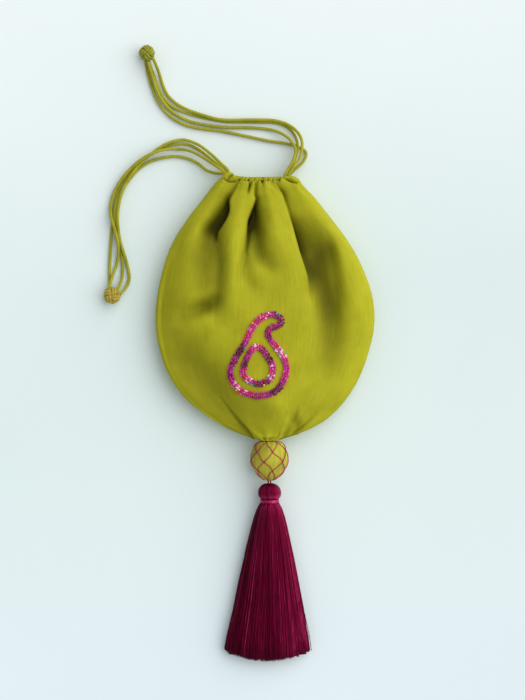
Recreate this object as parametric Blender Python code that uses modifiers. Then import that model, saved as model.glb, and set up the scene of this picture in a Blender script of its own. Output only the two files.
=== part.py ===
"""A drawstring potli bag lying on its back: two gathered cloth panels, ruched cord casings, four drawstring
cords with woven ball knots, a netted bead, a silk tassel and a beaded paisley sewn to the front.

Metres. +Z is up from the surface that the bag lies on, +Y points to the mouth and +X to the right."""

import math

import bmesh
import bpy
import numpy as np
from mathutils import Vector
from mathutils.bvhtree import BVHTree

# Lists of places below are in millimetres; sizes are in metres.
MM = 0.001
GAP = 0.0003

# Cloth panels
CLOTH = 0.0006
SEAM_GAP = 0.0003
SEAM_NECK, SEAM_BELLY, SEAM_HEM = 0.0110, 0.0120, 0.0143
FRONT_RISE_NECK, FRONT_RISE_BELLY, FRONT_RISE_HEM = 0.0102, 0.0175, 0.0050
BACK_DROP_NECK, BACK_DROP_BELLY, BACK_DROP_HEM = 0.0098, 0.0126, 0.0050
LIP = 0.0010
OUTLINE = (
    (98.3, -34.2, 25.6), (93, -39.3, 29), (84, -46, 37.5), (70, -57, 48.5), (52, -68.5, 62),
    (34, -75.5, 72), (12, -80.5, 80), (-10, -82, 82), (-32, -78.5, 77.5), (-52, -70.5, 70),
    (-68, -58, 60), (-80, -43, 48.5), (-89, -27, 32), (-94.5, -13, 19), (-97.5, -6, 12.5),
)
FRONT_GRID = (40, 26)
BACK_GRID = (22, 13)
EAR = (0.70, 0.16)
FRONT_GATHER, BACK_GATHER = 0.0006, 0.0007
HEM_PLEAT = 0.0006

# Casings and drawstrings
CORD_RADIUS = 0.00115
CORD_PITCH = 0.0026
CASING_WALL = 0.0005
CASING_HALF = CORD_PITCH / 2 + CORD_RADIUS + GAP + CASING_WALL
CASING_LINE = ((-23, 96.9, 5.8), (-15, 96.3, 7.2), (-5, 95.8, 7.8), (5, 96.0, 7.3), (12, 96.6, 6.3))
PAST_RIGHT_END = 0.0041
TIGHT_BEND = 0.0032
PUCKERS = 13
CORNER = ((1.0, 0.76), (0.76, 1.0))

# Bead, loop and tassel
AXIS_X = 0.0033
AXIS_Z = 0.0143
BEAD_TOP = -0.0972
BEAD_PROFILE = (
    (0, 2.6), (1.2, 6.4), (3.5, 10.2), (7.5, 12.9), (12.3, 14.2), (18, 13.6), (23, 11.6), (27, 8.4),
    (30, 4.6), (31, 2.6),
)
BEAD_SIDES = 20
NET_THREAD = 0.0008
NET_CELLS = 6
NET_ROWS = 5
NET_BAND = 0.09
NET_ENDS = (0.0012, 0.0297)
COVER_WALL = 0.0012
COVER_INSET = NET_THREAD + GAP + 0.0007
COVER_MOUTH = 0.0034
COVER_DEPTHS = (1.3, 2.4, 4.5, 8, 12.5, 18, 22.5, 26.2, 28.3, 29.1)
LINING_DEPTHS = (2.6, 4.5, 8, 12.5, 18, 22.5, 25.5, 28.5)
CORE_PLAY = 0.0005
CORE_MOUTH = 0.0040
CORE_BORE = 0.0022
CORE_DEPTHS = (3.1, 4.8, 8, 12.5, 18, 22.5, 25, 27.8)
LOOP_RADIUS = 0.0006
LOOP_SIDE = 0.0009
LOOP_DROP = 0.0016
PIVOT_Y = -0.1329
ANCHOR_RADIUS = 0.0034
ANCHOR_Y = -0.0858
LOOP_TOP = ANCHOR_Y - ANCHOR_RADIUS - GAP
TASSEL_RINGS = (
    (-134.2, 3.3, 12.6, 1.0, 1.0), (-131.8, 3.3, 12.6, 3.0, 3.0), (-130.0, 3.3, 12.5, 4.3, 4.3),
    (-130.3, 3.3, 12.1, 6.2, 6.0), (-132.5, 3.3, 12.0, 8.0, 7.7), (-137.0, 3.4, 11.6, 8.7, 8.2),
    (-140.6, 3.4, 11.0, 7.8, 7.2), (-142.4, 3.5, 10.6, 5.7, 5.4), (-146.4, 3.4, 9.9, 5.9, 5.6),
    (-148.4, 3.3, 9.5, 8.6, 7.4), (-158, 3.3, 8.4, 11.3, 7.8), (-173, 3.0, 7.8, 15.0, 7.6),
    (-188, 2.9, 7.5, 18.7, 7.4), (-205, 2.6, 7.2, 22.8, 7.1), (-222, 2.2, 6.9, 25.6, 6.8),
    (-240, 1.5, 6.5, 29.2, 6.4), (-252, 1.2, 6.0, 31.0, 5.8), (-258.5, 1.2, 5.3, 26.0, 4.6),
    (-261.5, 1.2, 4.6, 16.0, 3.0),
)
TASSEL_FLUTES = 18
BINDING_AT = (0.00345, 0.01025)
BINDING_TOP = -0.1429
BINDING_WIDTH = 0.0031
BINDING_BORE = 0.0063
BINDING_WALL = 0.0008
BINDING_ROUND = 0.0005

# Ball knots: the middle of the straps, how far they weave in and out, half their width and the ball within
KNOT_RADIUS = 0.0046
KNOT_WEAVE = 0.0006
KNOT_STRAP = 0.0017
KNOT_THICK = 0.0012
KNOT_CORE = 0.0047
KNOT_MESH = (26, 13)
LEFT_KNOT = (-115.2, 11.2, 6.4)
RIGHT_KNOT = (-88.9, 193.5, 6.4)

# Creases of the front in millimetres: (x, y, depth) along each, the width of its soft and of its sharp side,
# and the side that the soft one lies on: 1 for the right and -1 for the left. Swells: (x, y, height) along
# each, and half its width.
CREASES = (
    (((-20, 95, 2), (-22, 91, 4), (-26, 81, 10), (-31, 66, 9.5), (-37, 57, 6), (-43, 51, 2)), 11, 4.5, -1),
    (((-33, 63, 3), (-35, 52, 6), (-34, 32, 5.5), (-36, 8, 4), (-38, -6, 1)), 14, 5, -1),
    (((-6, 95, 2), (-6, 86, 5), (-9, 73, 9), (-12, 65, 9.5), (-14, 52, 8), (-17, 30, 2.5)), 9, 4.5, 1),
    (((9, 95, 1), (15, 80, 5), (19, 70, 8), (24, 57, 9.5), (28, 41, 9.5), (34, 12, 2)), 14, 4.5, 1),
    (((36, 50, 2), (41, 30, 6.5), (44, 5, 8), (45, -20, 6.5), (44, -44, 4), (41, -62, 1)), 11, 9, 1),
    (((-60, -3, 1), (-50, 0, 3), (-43, 3, 3.5), (-36, 9, 1)), 9, 5, -1),
    (((-34, -62, 0.5), (-25, -74, 2.2), (-17.5, -83, 2.6), (-9, -94, 1.4)), 5, 5.5, -1),
    (((38, -70, 0.6), (26, -80, 2), (18, -88, 2), (12, -94, 1)), 5, 5, 1),
)
SWELLS = (
    (((-15, 92, 1), (-18, 79, 2.6), (-22, 66, 3.2), (-25, 49, 3), (-26, 26, 2.2), (-25, 4, 1)), 7),
    (((2, 90, 1), (5, 71, 2.4), (11, 49, 2.6), (18, 30, 1.8), (22, 10, 0.6)), 9),
    (((24, 91, 1), (38, 71, 2), (55, 45, 2.6), (67, 12, 2.2), (69, -15, 1)), 9),
    (((-36, 86, 1.2), (-51, 60, 2.2), (-61, 36, 1.2)), 8),
    (((-43, 60, -2.5), (-48, 40, -3.6), (-49, 18, -2)), 8),
    (((-64, -19, 1.2), (-55, -15, 2.2), (-45, -9, 1.2)), 5),
    (((-4, 38, -1.4), (3, 32, -2.2)), 6),
)

# Beaded paisley, around its own middle
MOTIF_AT = (-5, -38)
MOTIF_OUTLINE = (
    (-2, -26), (12, -23), (20, -12), (20, 0), (13, 11), (7.5, 18), (9, 24), (15, 26), (17.5, 30.5),
    (11, 34.5), (2, 32), (-5, 24), (-10, 13), (-17, 2), (-21, -10), (-15, -21),
)
MOTIF_HEART = (
    (-2, -17), (7, -15), (11, -7), (8.5, 1), (3.5, 8), (-2, 10.5), (-6.5, 6), (-10.5, -3), (-11, -11),
)
MOTIF_BAND = (0.0020, 0.0010)

# Drawstring routes from ball to casing, with the least height at each point
RIGHT_ROUTES = {
    "upper": (
        (-85.5, 192, 9), (-81, 182, 3), (-76, 167, 2), (-70.5, 159, 2), (-60, 152, 2), (-46.5, 147, 2),
        (-32, 143.5, 2), (-10, 143.5, 2), (7, 143, 2), (18, 139.5, 4), (25.5, 132.5, 7), (28, 124, 10),
        (25.5, 114, 13.2), (20.5, 107, 15.5),
    ),
    "second": (
        (-89, 190.5, 2), (-86, 180, 2), (-79.5, 164, 2), (-72, 154, 2), (-60, 147.5, 2), (-45, 143, 2),
        (-29, 140, 2), (-8, 139.8, 2), (8, 139.5, 2), (17, 136, 2), (22.5, 129.5, 2), (23, 121, 3),
        (19.5, 112.5, 5), (16.8, 106, 6),
    ),
    "third": (
        (-88, 186.5, 2), (-84, 175, 2), (-78, 159, 2), (-69, 149, 2), (-57, 142, 2), (-43, 138, 2),
        (-28, 136.5, 2), (-10, 136.5, 2), (6, 134.5, 2), (14, 131.5, 4), (20, 126, 7.5), (21.5, 119, 11),
        (18.5, 111.5, 14), (16.6, 106, 15.5),
    ),
    "lowest": (
        (-93, 186.5, 2), (-87, 172, 2), (-80, 155, 2), (-70, 144.5, 2), (-57, 138, 2), (-42, 134.5, 2),
        (-28, 133, 2), (-14, 130.5, 2), (4, 127.5, 2), (16, 125.8, 2), (25, 123.5, 2), (29, 119, 2),
        (27, 112.5, 3.4), (20.8, 106.5, 5.4),
    ),
}
LEFT_ROUTES = {
    "upper": (
        (-117.5, 16, 8), (-115.5, 24, 2), (-111.5, 37, 2), (-110.5, 49, 2), (-113, 61, 2), (-116, 72, 2),
        (-113, 82, 2), (-104, 96, 2), (-95, 105.5, 2), (-84, 112, 2), (-70, 115.5, 2), (-57, 114, 5),
        (-46, 110, 10), (-36, 105.5, 14.5), (-31.2, 104, 16.5),
    ),
    "second": (
        (-110.5, 16, 8), (-108, 24, 2), (-107.5, 34, 2), (-109, 45, 2), (-112, 56, 2), (-113, 70, 2),
        (-110, 80, 2), (-103, 91, 2), (-93, 102, 2), (-82, 109, 2), (-70, 112, 2), (-58, 110, 2),
        (-48, 106.5, 2.5), (-38, 103.6, 4), (-32, 103.3, 4.4),
    ),
    "third": (
        (-109, 12, 6), (-104, 19, 2), (-102.5, 26, 2), (-105, 38, 2), (-110, 54, 2), (-110.5, 70, 2),
        (-107, 84, 2), (-99.5, 99, 2), (-91, 112, 2), (-80, 121, 2), (-69, 125.5, 2), (-60, 126.5, 3),
        (-50, 123, 6), (-41, 116.5, 10), (-33, 109.5, 14.5), (-28.6, 105.5, 17),
    ),
    "lowest": (
        (-117, 19, 2), (-117.3, 31, 2), (-116.8, 43, 2), (-116, 56, 2), (-114, 70, 2), (-110.5, 84, 2),
        (-102, 100, 2), (-92, 110, 2), (-80, 117, 2), (-68, 120, 2), (-57.5, 119.5, 2), (-48, 116, 2),
        (-38, 111, 2.6), (-31.5, 107, 3.8), (-28.4, 104.6, 4.4),
    ),
}

# Whether a cord is the outer of its two, and the routes of its front and back strands
LEFT_PAIRS = ((True, "upper", "second"), (False, "third", "lowest"))
RIGHT_PAIRS = ((True, "upper", "lowest"), (False, "third", "second"))

CLOTH_COLOUR = (0.36, 0.35, 0.035, 1)
SILK_COLOUR = (0.085, 0.004, 0.016, 1)
PINK_COLOUR = (0.35, 0.02, 0.07, 1)
CORD_COLOUR = (0.36, 0.31, 0.07, 1)


def smooth_curve(points, step):
    """Points about a step apart on a Catmull-Rom curve through the given ones."""
    p = np.array(points, float)
    p = np.vstack((2 * p[0] - p[1], p, 2 * p[-1] - p[-2]))
    found = [p[1]]
    for a, b, c, d in zip(p, p[1:], p[2:], p[3:]):
        count = max(1, round(np.linalg.norm(c - b) / step))
        for t in np.arange(1, count + 1) / count:
            bend = (2 * a - 5 * b + 4 * c - d) * t**2 + (3 * b - a - 3 * c + d) * t**3
            found.append((2 * b + (c - a) * t + bend) / 2)
    return np.array(found)


def closed_curve(points, step):
    """The same round a closed route, with its last point left out."""
    wrapped = [points[-1], *points, points[0], points[1]]
    dense = smooth_curve(wrapped, step / 4)
    start = np.argmin(np.linalg.norm(dense - points[0], axis=1))
    far = start + 3 + np.argmin(np.linalg.norm(dense[start + 3:] - points[0], axis=1))
    return dense[start:far:4]


def ease(x):
    x = np.clip(x, 0, 1)
    return x * x * (3 - 2 * x)


def make_object(name, data, colour, roughness=0.6, metallic=0.0):
    obj = bpy.data.objects.new(name, data)
    material = bpy.data.materials.new(name)
    material.use_nodes = True
    shader = material.node_tree.nodes["Principled BSDF"]
    shader.inputs["Base Color"].default_value = colour
    shader.inputs["Roughness"].default_value = roughness
    shader.inputs["Metallic"].default_value = metallic
    data.materials.append(material)
    BAG.objects.link(obj)
    return obj


def mesh_object(name, points, faces, colour, roughness=0.6, smooth=True):
    mesh = bpy.data.meshes.new(name)
    mesh.from_pydata([tuple(p) for p in points], [], faces)
    mesh.validate()
    for face in mesh.polygons:
        face.use_smooth = smooth
    return make_object(name, mesh, colour, roughness)


def loft(name, rings, colour, capped=True):
    """A skin over rings of equal count. Uncapped, the last ring joins the first."""
    count = len(rings[0])
    faces = []
    last = len(rings) - 1 if capped else len(rings)
    for i in range(last):
        j = (i + 1) % len(rings)
        for k in range(count):
            m = (k + 1) % count
            faces.append((i * count + k, i * count + m, j * count + m, j * count + k))
    if capped:
        faces.append(tuple(reversed(range(count))))
        faces.append(tuple(range((len(rings) - 1) * count, len(rings) * count)))
    return mesh_object(name, np.vstack(rings), faces, colour)


def surface_tree(obj):
    graph = bpy.context.evaluated_depsgraph_get()
    return BVHTree.FromObject(obj, graph)


def blend(y, neck, belly, hem):
    """A value that eases from the neck's through the belly's to the hem's."""
    upper = ease((y - 0.030) / 0.060)
    lower = ease((-0.055 - y) / 0.0425)
    return belly + (neck - belly) * upper + (hem - belly) * lower


def outline_at(share):
    """Height up the bag and its left and right edges, at shares of the way down its side."""
    line = smooth_curve(OUTLINE, 1.0) * MM
    run = np.concatenate(([0], np.cumsum(np.linalg.norm(np.diff(line[:, :2], axis=0), axis=1))))
    return [np.interp(share, run / run[-1], line[:, k]) for k in range(3)]


def nearest_on(route, x, y):
    """How far each place is from a route, the route's height there, and the side of it that it lies on."""
    line = smooth_curve(route, 3.0) * MM
    best = np.full(x.shape, np.inf)
    height = np.zeros_like(x)
    side = np.zeros_like(x)
    for a, b in zip(line, line[1:]):
        step = b - a
        t = np.clip(((x - a[0]) * step[0] + (y - a[1]) * step[1]) / (step[:2] @ step[:2]), 0, 1)
        dx = x - a[0] - t * step[0]
        dy = y - a[1] - t * step[1]
        far = np.hypot(dx, dy)
        near = far < best
        best = np.where(near, far, best)
        height = np.where(near, a[2] + t * step[2], height)
        side = np.where(near, np.sign(step[0] * dy - step[1] * dx), side)
    return best, height, side


def fold_height(x, y):
    """The height that the creases and swells add at each place."""
    total = np.zeros_like(x)
    for route, soft, sharp, pocket in CREASES:
        far, depth, side = nearest_on(route, x, y)
        width = np.where(side == pocket, soft, sharp) * MM
        total -= depth * np.exp(-((far / width) ** 2))
    for route, half in SWELLS:
        far, height, _ = nearest_on(route, x, y)
        total += height * np.exp(-((far / (half * MM)) ** 2))
    return total


def panel(name, grid, front):
    """One side of the bag, from the casing down to the hem, drawn on a grid of warp and weft."""
    columns, rows = grid
    u = np.linspace(-1, 1, columns + 1)
    u = np.concatenate(([-1], u, [1]))
    columns += 2
    lip = np.where(np.arange(columns + 1) % columns == 0, 0, LIP)
    share = np.linspace(0, 1, rows + 1)
    level, left, right = outline_at(share - 0.08 * np.sin(2 * math.pi * share))
    u, y = np.meshgrid(u, level)
    rounded = 0.72 * np.sin(math.pi / 2 * u) + 0.28 * u
    pinched = np.sign(u) * (1 - (1 - np.abs(u)) ** 0.6)
    s = rounded + (pinched - rounded) * ease((-0.060 - y) / 0.022)
    half = ((right - left) / 2)[:, None]
    x = ((right + left) / 2)[:, None] + half * s
    top = level[0]
    dip = CASING_HALF * 2 - 0.0002
    sag = 0.0012 * np.cos(1.3 * s)
    ears = ease((np.abs(s) - EAR[0]) / EAR[1])
    y = y - (dip + sag) * (1 - ears) * (1 - ease((top - y) / 0.022))
    seam = blend(y, SEAM_NECK, SEAM_BELLY, SEAM_HEM)
    power = blend(y, 7.0, 2.15, 2.0)
    round_off = np.sqrt(np.clip(1 - np.abs(s) ** power, 0, 1))
    inner = ease((1 - np.abs(s)) / 0.25)
    fan = np.exp(-(top - y) / 0.030)
    if front:
        rise = blend(y, FRONT_RISE_NECK, FRONT_RISE_BELLY, FRONT_RISE_HEM)
        gathers = FRONT_GATHER * fan * np.cos(17 * s + 1.3 * np.sin(5 * s))
        hem_pleats = HEM_PLEAT * ease((-0.075 - y) / 0.02) * np.cos(12 * s)
        folds = gathers + hem_pleats + fold_height(x, y) * ease((top - y) / 0.006 + 0.25)
        z = seam + SEAM_GAP / 2 + lip + np.maximum(rise * round_off + inner * folds, 0)
    else:
        drop = blend(y, BACK_DROP_NECK, BACK_DROP_BELLY, BACK_DROP_HEM)
        gathers = BACK_GATHER * fan * np.cos(15 * s + 0.9)
        z = np.maximum(seam - SEAM_GAP / 2 - lip - drop * round_off + inner * gathers, 0)
    points = np.stack((x, y, z), axis=-1).reshape(-1, 3)
    faces = []
    for r in range(rows):
        for c in range(columns):
            a = r * (columns + 1) + c
            quad = (a, a + columns + 1, a + columns + 2, a + 1)
            faces.append(quad if front else quad[::-1])
    obj = mesh_object(name, points, faces, CLOTH_COLOUR, 0.7)
    thick = obj.modifiers.new("cloth", "SOLIDIFY")
    thick.thickness = CLOTH
    thick.offset = -1
    return obj


def casing_line(front, steps):
    """The middle line of a casing: the front one arches up from the seam, the back one mirrors it down."""
    line = smooth_curve(CASING_LINE, 1.0)
    run = np.concatenate(([0], np.cumsum(np.linalg.norm(np.diff(line, axis=0), axis=1))))
    share = np.linspace(0, 1, steps + 1)
    line = np.stack([np.interp(share, run / run[-1], line[:, k]) for k in range(3)], axis=1) * MM
    line[:, 2] = SEAM_NECK + (line[:, 2] if front else -line[:, 2])
    return line


def casing_frames(front, steps):
    """The middle line of a casing with the directions across it."""
    line = casing_line(front, steps)
    ahead = np.gradient(line, axis=0)
    side = np.cross((0, 0, 1), ahead)
    side /= np.linalg.norm(side, axis=1)[:, None]
    up = np.cross(ahead, side)
    up /= np.linalg.norm(up, axis=1)[:, None]
    return line, side, up


def casing(name, front):
    """A folded hem round the cords, open at both ends and ruched along its length."""
    quarters = ((1, 1), (-1, 1), (-1, -1), (1, -1))
    section = np.array([(a * x, b * y) for a, b in quarters for x, y in CORNER[:: a * b]])
    outer, inner = [], []
    for i, (middle, side, up) in enumerate(zip(*casing_frames(front, PUCKERS * 3))):
        spread = section[:, :1] * side + section[:, 1:] * up
        ruche = 0.0003 * math.cos(i * 2 * math.pi / 3 + 0.4 * math.sin(i * 0.9))
        ring = middle + spread * (CASING_HALF + ruche)
        ring[:, 2] = np.maximum(ring[:, 2], 0.0001)
        outer.append(ring)
        inner.append(middle + spread * (CASING_HALF - CASING_WALL))
    return loft(name, outer + inner[::-3], CLOTH_COLOUR, capped=False)


def knot_ball(name, middle, spin, colour):
    """A ball of straps in three leads and four bights, woven over and under, as one skin in relief."""
    t = np.arange(180) / 180 * 6 * math.pi
    strap = directions(t + spin, 0.98 * np.cos(4 * t / 3))
    level = KNOT_RADIUS + KNOT_WEAVE * np.sin(8 * t / 3)
    around, down = KNOT_MESH
    turns = np.arange(around) / around * 2 * math.pi
    rings = []
    for i in range(1, down + 1):
        way = directions(turns, np.full(around, math.pi * i / (down + 1) - math.pi / 2))
        away = np.arccos(np.clip(way @ strap.T, -1, 1)) * KNOT_RADIUS / KNOT_STRAP
        raised = level + KNOT_THICK * np.sqrt(np.clip(1 - away**2, 0, 1))
        reach = np.maximum(np.where(away < 1, raised, 0).max(axis=1), KNOT_CORE)
        rings.append(np.array(middle) * MM + way * reach[:, None])
    return loft(name, rings, colour)


def directions(turn, latitude):
    across = np.cos(latitude)
    return np.stack((across * np.cos(turn), across * np.sin(turn), np.sin(latitude)), axis=1)


def tube(name, points, radius, colour):
    curve = bpy.data.curves.new(name, "CURVE")
    curve.dimensions = "3D"
    curve.bevel_depth = radius
    curve.bevel_resolution = 2
    curve.use_fill_caps = True
    spline = curve.splines.new("POLY")
    spline.points.add(len(points) - 1)
    for spot, point in zip(spline.points, points):
        spot.co = (*point, 1)
    spline.use_smooth = True
    return make_object(name, curve, colour)


def laid_heights(line, below):
    """Heights at which a cord lies on the surface and on the cords laid there before, with no steep step."""
    clear = 2 * CORD_RADIUS + GAP
    height = np.maximum(line[:, 2], CORD_RADIUS + 0.0001)
    for other in below:
        away = np.hypot(line[:, None, 0] - other[None, :, 0], line[:, None, 1] - other[None, :, 1])
        lift = np.sqrt(np.clip((1.08 * clear) ** 2 - away**2, 0, None)) * 1.12
        height = np.maximum(height, np.where(lift > 0, other[None, :, 2] + lift, 0).max(axis=1))
    run = np.concatenate(([0], np.cumsum(np.hypot(*np.diff(line[:, :2], axis=0).T))))
    slope = height[None, :] - 0.38 * np.abs(run[:, None] - run[None, :])
    return slope.max(axis=1)


def laid_strand(route, below):
    """A strand from its ball to the neck, laid on what is there already."""
    line = smooth_curve(route, 1.0) * MM
    line[:, 2] = laid_heights(line, below)
    below.append(line)
    return line


def thin_out(line):
    """Fewer points where a cord runs straight and more where it bends."""
    kept = [line[0]]
    since = 0
    turned = 0
    for before, here, after in zip(line, line[1:], line[2:]):
        first, second = here - before, after - here
        since += np.linalg.norm(first)
        cosine = first @ second / (np.linalg.norm(first) * np.linalg.norm(second) + 1e-12)
        turned += math.acos(max(-1, min(1, cosine)))
        if since > 0.0090 or turned > math.radians(26):
            kept.append(here)
            since = 0
            turned = 0
    kept.append(line[-1])
    return np.array(kept)


def drawstring(front_strand, back_strand, leaves_right, outer):
    """One cord: in through the front casing, round its far end and back through the other casing."""
    sign = 1 if leaves_right else -1
    row = CORD_PITCH / 2 * (-1 if outer else 1)
    layer = CORD_PITCH / 2 * (-1 if leaves_right else 1)
    middle, side, up = casing_frames(True, 14)
    front = middle + side * row + up * layer
    middle, side, up = casing_frames(False, 14)
    back = middle + side * row - up * layer
    if leaves_right:
        front, back = front[::-1], back[::-1]
    radius = (front[-1, 2] - back[-1, 2]) / 2
    past = 0 if leaves_right else PAST_RIGHT_END
    centre = (front[-1] + back[-1]) / 2 - np.array((sign * past, 0, 0))
    turns = np.linspace(math.pi / 2, -math.pi / 2, 9)
    bend = [centre + np.array((-sign * radius * math.cos(a), 0, radius * math.sin(a))) for a in turns]
    way_in = np.vstack((front_strand, corner_points(front[0], sign, outer), front))
    way_out = np.vstack((back_strand, corner_points(back[0], sign, outer), back))
    return smooth_curve(np.vstack((way_in, bend, way_out[::-1])) / MM, 0.8) * MM


def corner_points(mouth, sign, outer):
    """The bend from a strand that comes down to the neck into the end of a casing."""
    radius = TIGHT_BEND + (CORD_PITCH if outer else 0)
    turns = np.radians((90, 60, 30))
    return [mouth + np.array((sign * radius * math.sin(a), radius * (1 - math.cos(a)), 0)) for a in turns]


def cut_at_ball(line, tree):
    """The cord cut back until its end clears the ball by the usual gap."""
    near = 0
    while tree.find_nearest(Vector(line[near]))[3] < CORD_RADIUS + GAP:
        near += 1
    inside, outside = line[near - 1], line[near]
    for _ in range(5):
        middle = (inside + outside) / 2
        if tree.find_nearest(Vector(middle))[3] < CORD_RADIUS + GAP:
            inside = middle
        else:
            outside = middle
    if np.linalg.norm(line[near] - outside) < 0.0002:
        near += 1
    return np.vstack(([outside], line[near:]))


def turned(name, outline, centre, sides, colour):
    """A ring turned about an axis along Y from its closed outline of (y, radius)."""
    count = len(outline)
    mesh = bpy.data.meshes.new(name)
    mesh.from_pydata([(r, y, 0) for y, r in outline], [(i, (i + 1) % count) for i in range(count)], [])
    obj = make_object(name, mesh, colour)
    obj.location = (centre[0], 0, centre[1])
    turn = obj.modifiers.new("turn", "SCREW")
    turn.axis = "Y"
    turn.steps = sides
    turn.render_steps = sides
    turn.use_merge_vertices = True
    turn.merge_threshold = 0.00001
    turn.use_normal_calculate = True
    return obj


def bead_radius(depth, inset):
    profile = np.array(BEAD_PROFILE) * MM
    return np.interp(depth, profile[:, 0], profile[:, 1]) - inset


def bead_outline(depths, inset, mouth):
    """The bead's outline at these depths, drawn in by the inset, with its ends at the mouth's radius."""
    line = [(BEAD_TOP - d * MM, bead_radius(d * MM, inset)) for d in depths[1:-1]]
    return [(BEAD_TOP - depths[0] * MM, mouth), *line, (BEAD_TOP - depths[-1] * MM, mouth)]


def bead():
    """A bored core and the cover stretched over it."""
    centre = (AXIS_X, AXIS_Z)
    outside = bead_outline(COVER_DEPTHS, COVER_INSET, COVER_MOUTH)
    lining = bead_outline(LINING_DEPTHS, COVER_INSET + COVER_WALL, COVER_MOUTH)
    turned("bead_cover", outside + lining[::-1], centre, BEAD_SIDES, (0.37, 0.31, 0.045, 1))
    core = bead_outline(CORE_DEPTHS, COVER_INSET + COVER_WALL + CORE_PLAY, CORE_MOUTH)
    bore = [(core[-1][0], CORE_BORE), (core[0][0], CORE_BORE)]
    turned("bead_core", core + bore, centre, BEAD_SIDES, (0.45, 0.28, 0.12, 1))


def bead_net():
    """Threads knotted into diamonds over the cover: a skin round each cell's hole, given its thickness."""
    points, places, faces = [], {}, []

    def spot(level, quarter):
        key = round(level, 6), round(quarter % (4 * NET_CELLS), 6)
        if key not in places:
            depth = NET_ENDS[0] + (NET_ENDS[1] - NET_ENDS[0]) * level / last
            reach = bead_radius(depth, NET_THREAD / 2)
            turn = math.pi / 2 / NET_CELLS * quarter
            places[key] = len(points)
            x, z = AXIS_X + reach * math.cos(turn), AXIS_Z + reach * math.sin(turn)
            points.append((x, BEAD_TOP - depth, z))
        return places[key]

    def cell(level, quarter, corners):
        """The threads round one cell: a band from its edges to its hole."""
        edge = np.array(corners, float) + (level, quarter)
        middle = edge.mean(axis=0)
        hole = middle + (edge - middle) * (1 - NET_BAND)
        rim = [spot(*place) for place in edge]
        inside = [spot(*place) for place in hole]
        for a in range(len(edge)):
            b = (a + 1) % len(edge)
            faces.append((rim[a], rim[b], inside[b], inside[a]))

    last = 2 * NET_ROWS - 2
    round_cell = ((0, 0), (1, 1), (2, 2), (3, 1), (4, 0), (3, -1), (2, -2), (1, -1))
    half_cell = ((0, 0), (0, 2), (0, 4), (1, 3), (2, 2), (1, 1))
    for turn in range(0, 4 * NET_CELLS, 4):
        for row in range(NET_ROWS - 2):
            cell(2 * row, turn + 2 * (row % 2), round_cell)
        cell(0, turn, half_cell)
        cell(last, turn + 2 * ((NET_ROWS - 1) % 2), [(-down, across) for down, across in reversed(half_cell)])
    net = mesh_object("bead_net", points, faces, PINK_COLOUR)
    threads = net.modifiers.new("threads", "SOLIDIFY")
    threads.thickness = NET_THREAD
    threads.offset = 0


def tassel():
    """Head, neck and fluted skirt of the tassel as one skin, and the binding round its neck."""
    turns = np.arange(2 * TASSEL_FLUTES) / (2 * TASSEL_FLUTES) * 2 * math.pi
    hollow = np.arange(len(turns)) % 2
    rings = []
    for i, (y, x, z, wide, high) in enumerate(np.array(TASSEL_RINGS) * MM):
        flute = 1 - hollow * (0 if i < 3 else 0.03 if i < 10 else 0.06)
        sides = x + wide * flute * np.cos(turns)
        heights = np.maximum(z + high * flute * np.sin(turns), 0.0001)
        rings.append(np.stack((sides, np.full(len(turns), y), heights), axis=1))
    loft("tassel_threads", rings, SILK_COLOUR)
    top, low = BINDING_TOP, BINDING_TOP - BINDING_WIDTH
    reach = BINDING_BORE + BINDING_WALL
    shoulder = reach - BINDING_ROUND
    crown = [(top, shoulder), (top - BINDING_ROUND, reach), (low + BINDING_ROUND, reach), (low, shoulder)]
    turned("tassel_binding", [(top, BINDING_BORE), *crown, (low, BINDING_BORE)], BINDING_AT, 24, PINK_COLOUR)


def hanging_loop():
    """A loop of thread from the knot inside the hem, through the bead, round the tassel's pivot."""
    turns = np.linspace(0, -math.pi, 7)
    low = AXIS_Z - LOOP_DROP
    bend = [(AXIS_X + LOOP_SIDE * math.cos(a), PIVOT_Y + LOOP_SIDE * (1 + math.sin(a)), low) for a in turns]
    straight = [(AXIS_X + LOOP_SIDE, y, AXIS_Z) for y in np.linspace(LOOP_TOP, PIVOT_Y + 0.0054, 5)]
    right = [*straight, (AXIS_X + LOOP_SIDE, PIVOT_Y + 0.0029, AXIS_Z - LOOP_DROP / 2)]
    left = [(2 * AXIS_X - x, y, z) for x, y, z in reversed(right)]
    tube("hanging_loop", right + bend + left, LOOP_RADIUS, PINK_COLOUR)


def anchor_knot():
    mesh = bpy.data.meshes.new("anchor_knot")
    ball = bmesh.new()
    bmesh.ops.create_uvsphere(ball, u_segments=12, v_segments=8, radius=ANCHOR_RADIUS)
    ball.to_mesh(mesh)
    ball.free()
    knot = make_object("anchor_knot", mesh, PINK_COLOUR)
    knot.location = (AXIS_X, ANCHOR_Y, AXIS_Z)


def motif_band(name, route, tree, colour):
    """A raised band of beadwork that follows the cloth under it."""
    line = closed_curve([np.array(p, float) for p in route], 3.4) * MM + np.array(MOTIF_AT) * MM
    rings = []
    for i, spot in enumerate(line):
        ahead = line[(i + 1) % len(line)] - line[i - 1]
        side = np.array((-ahead[1], ahead[0])) / np.linalg.norm(ahead)
        ring = []
        for k in range(6):
            a = 2 * math.pi * (k + 0.5) / 6
            out = spot + side * MOTIF_BAND[0] * math.cos(a)
            ring.append((out[0], out[1], MOTIF_BAND[1] * math.sin(a)))
        heights = [tree.ray_cast(Vector((x, y, 0.1)), Vector((0, 0, -1)))[0].z for x, y, _ in ring]
        lift = max(heights) + GAP + MOTIF_BAND[1]
        rings.append(np.array([(x, y, lift + z) for x, y, z in ring]))
    loft(name, rings, colour, capped=False)


for old in list(bpy.data.objects):
    bpy.data.objects.remove(old)
BAG = bpy.data.collections.new("potli_bag")
bpy.context.scene.collection.children.link(BAG)

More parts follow.
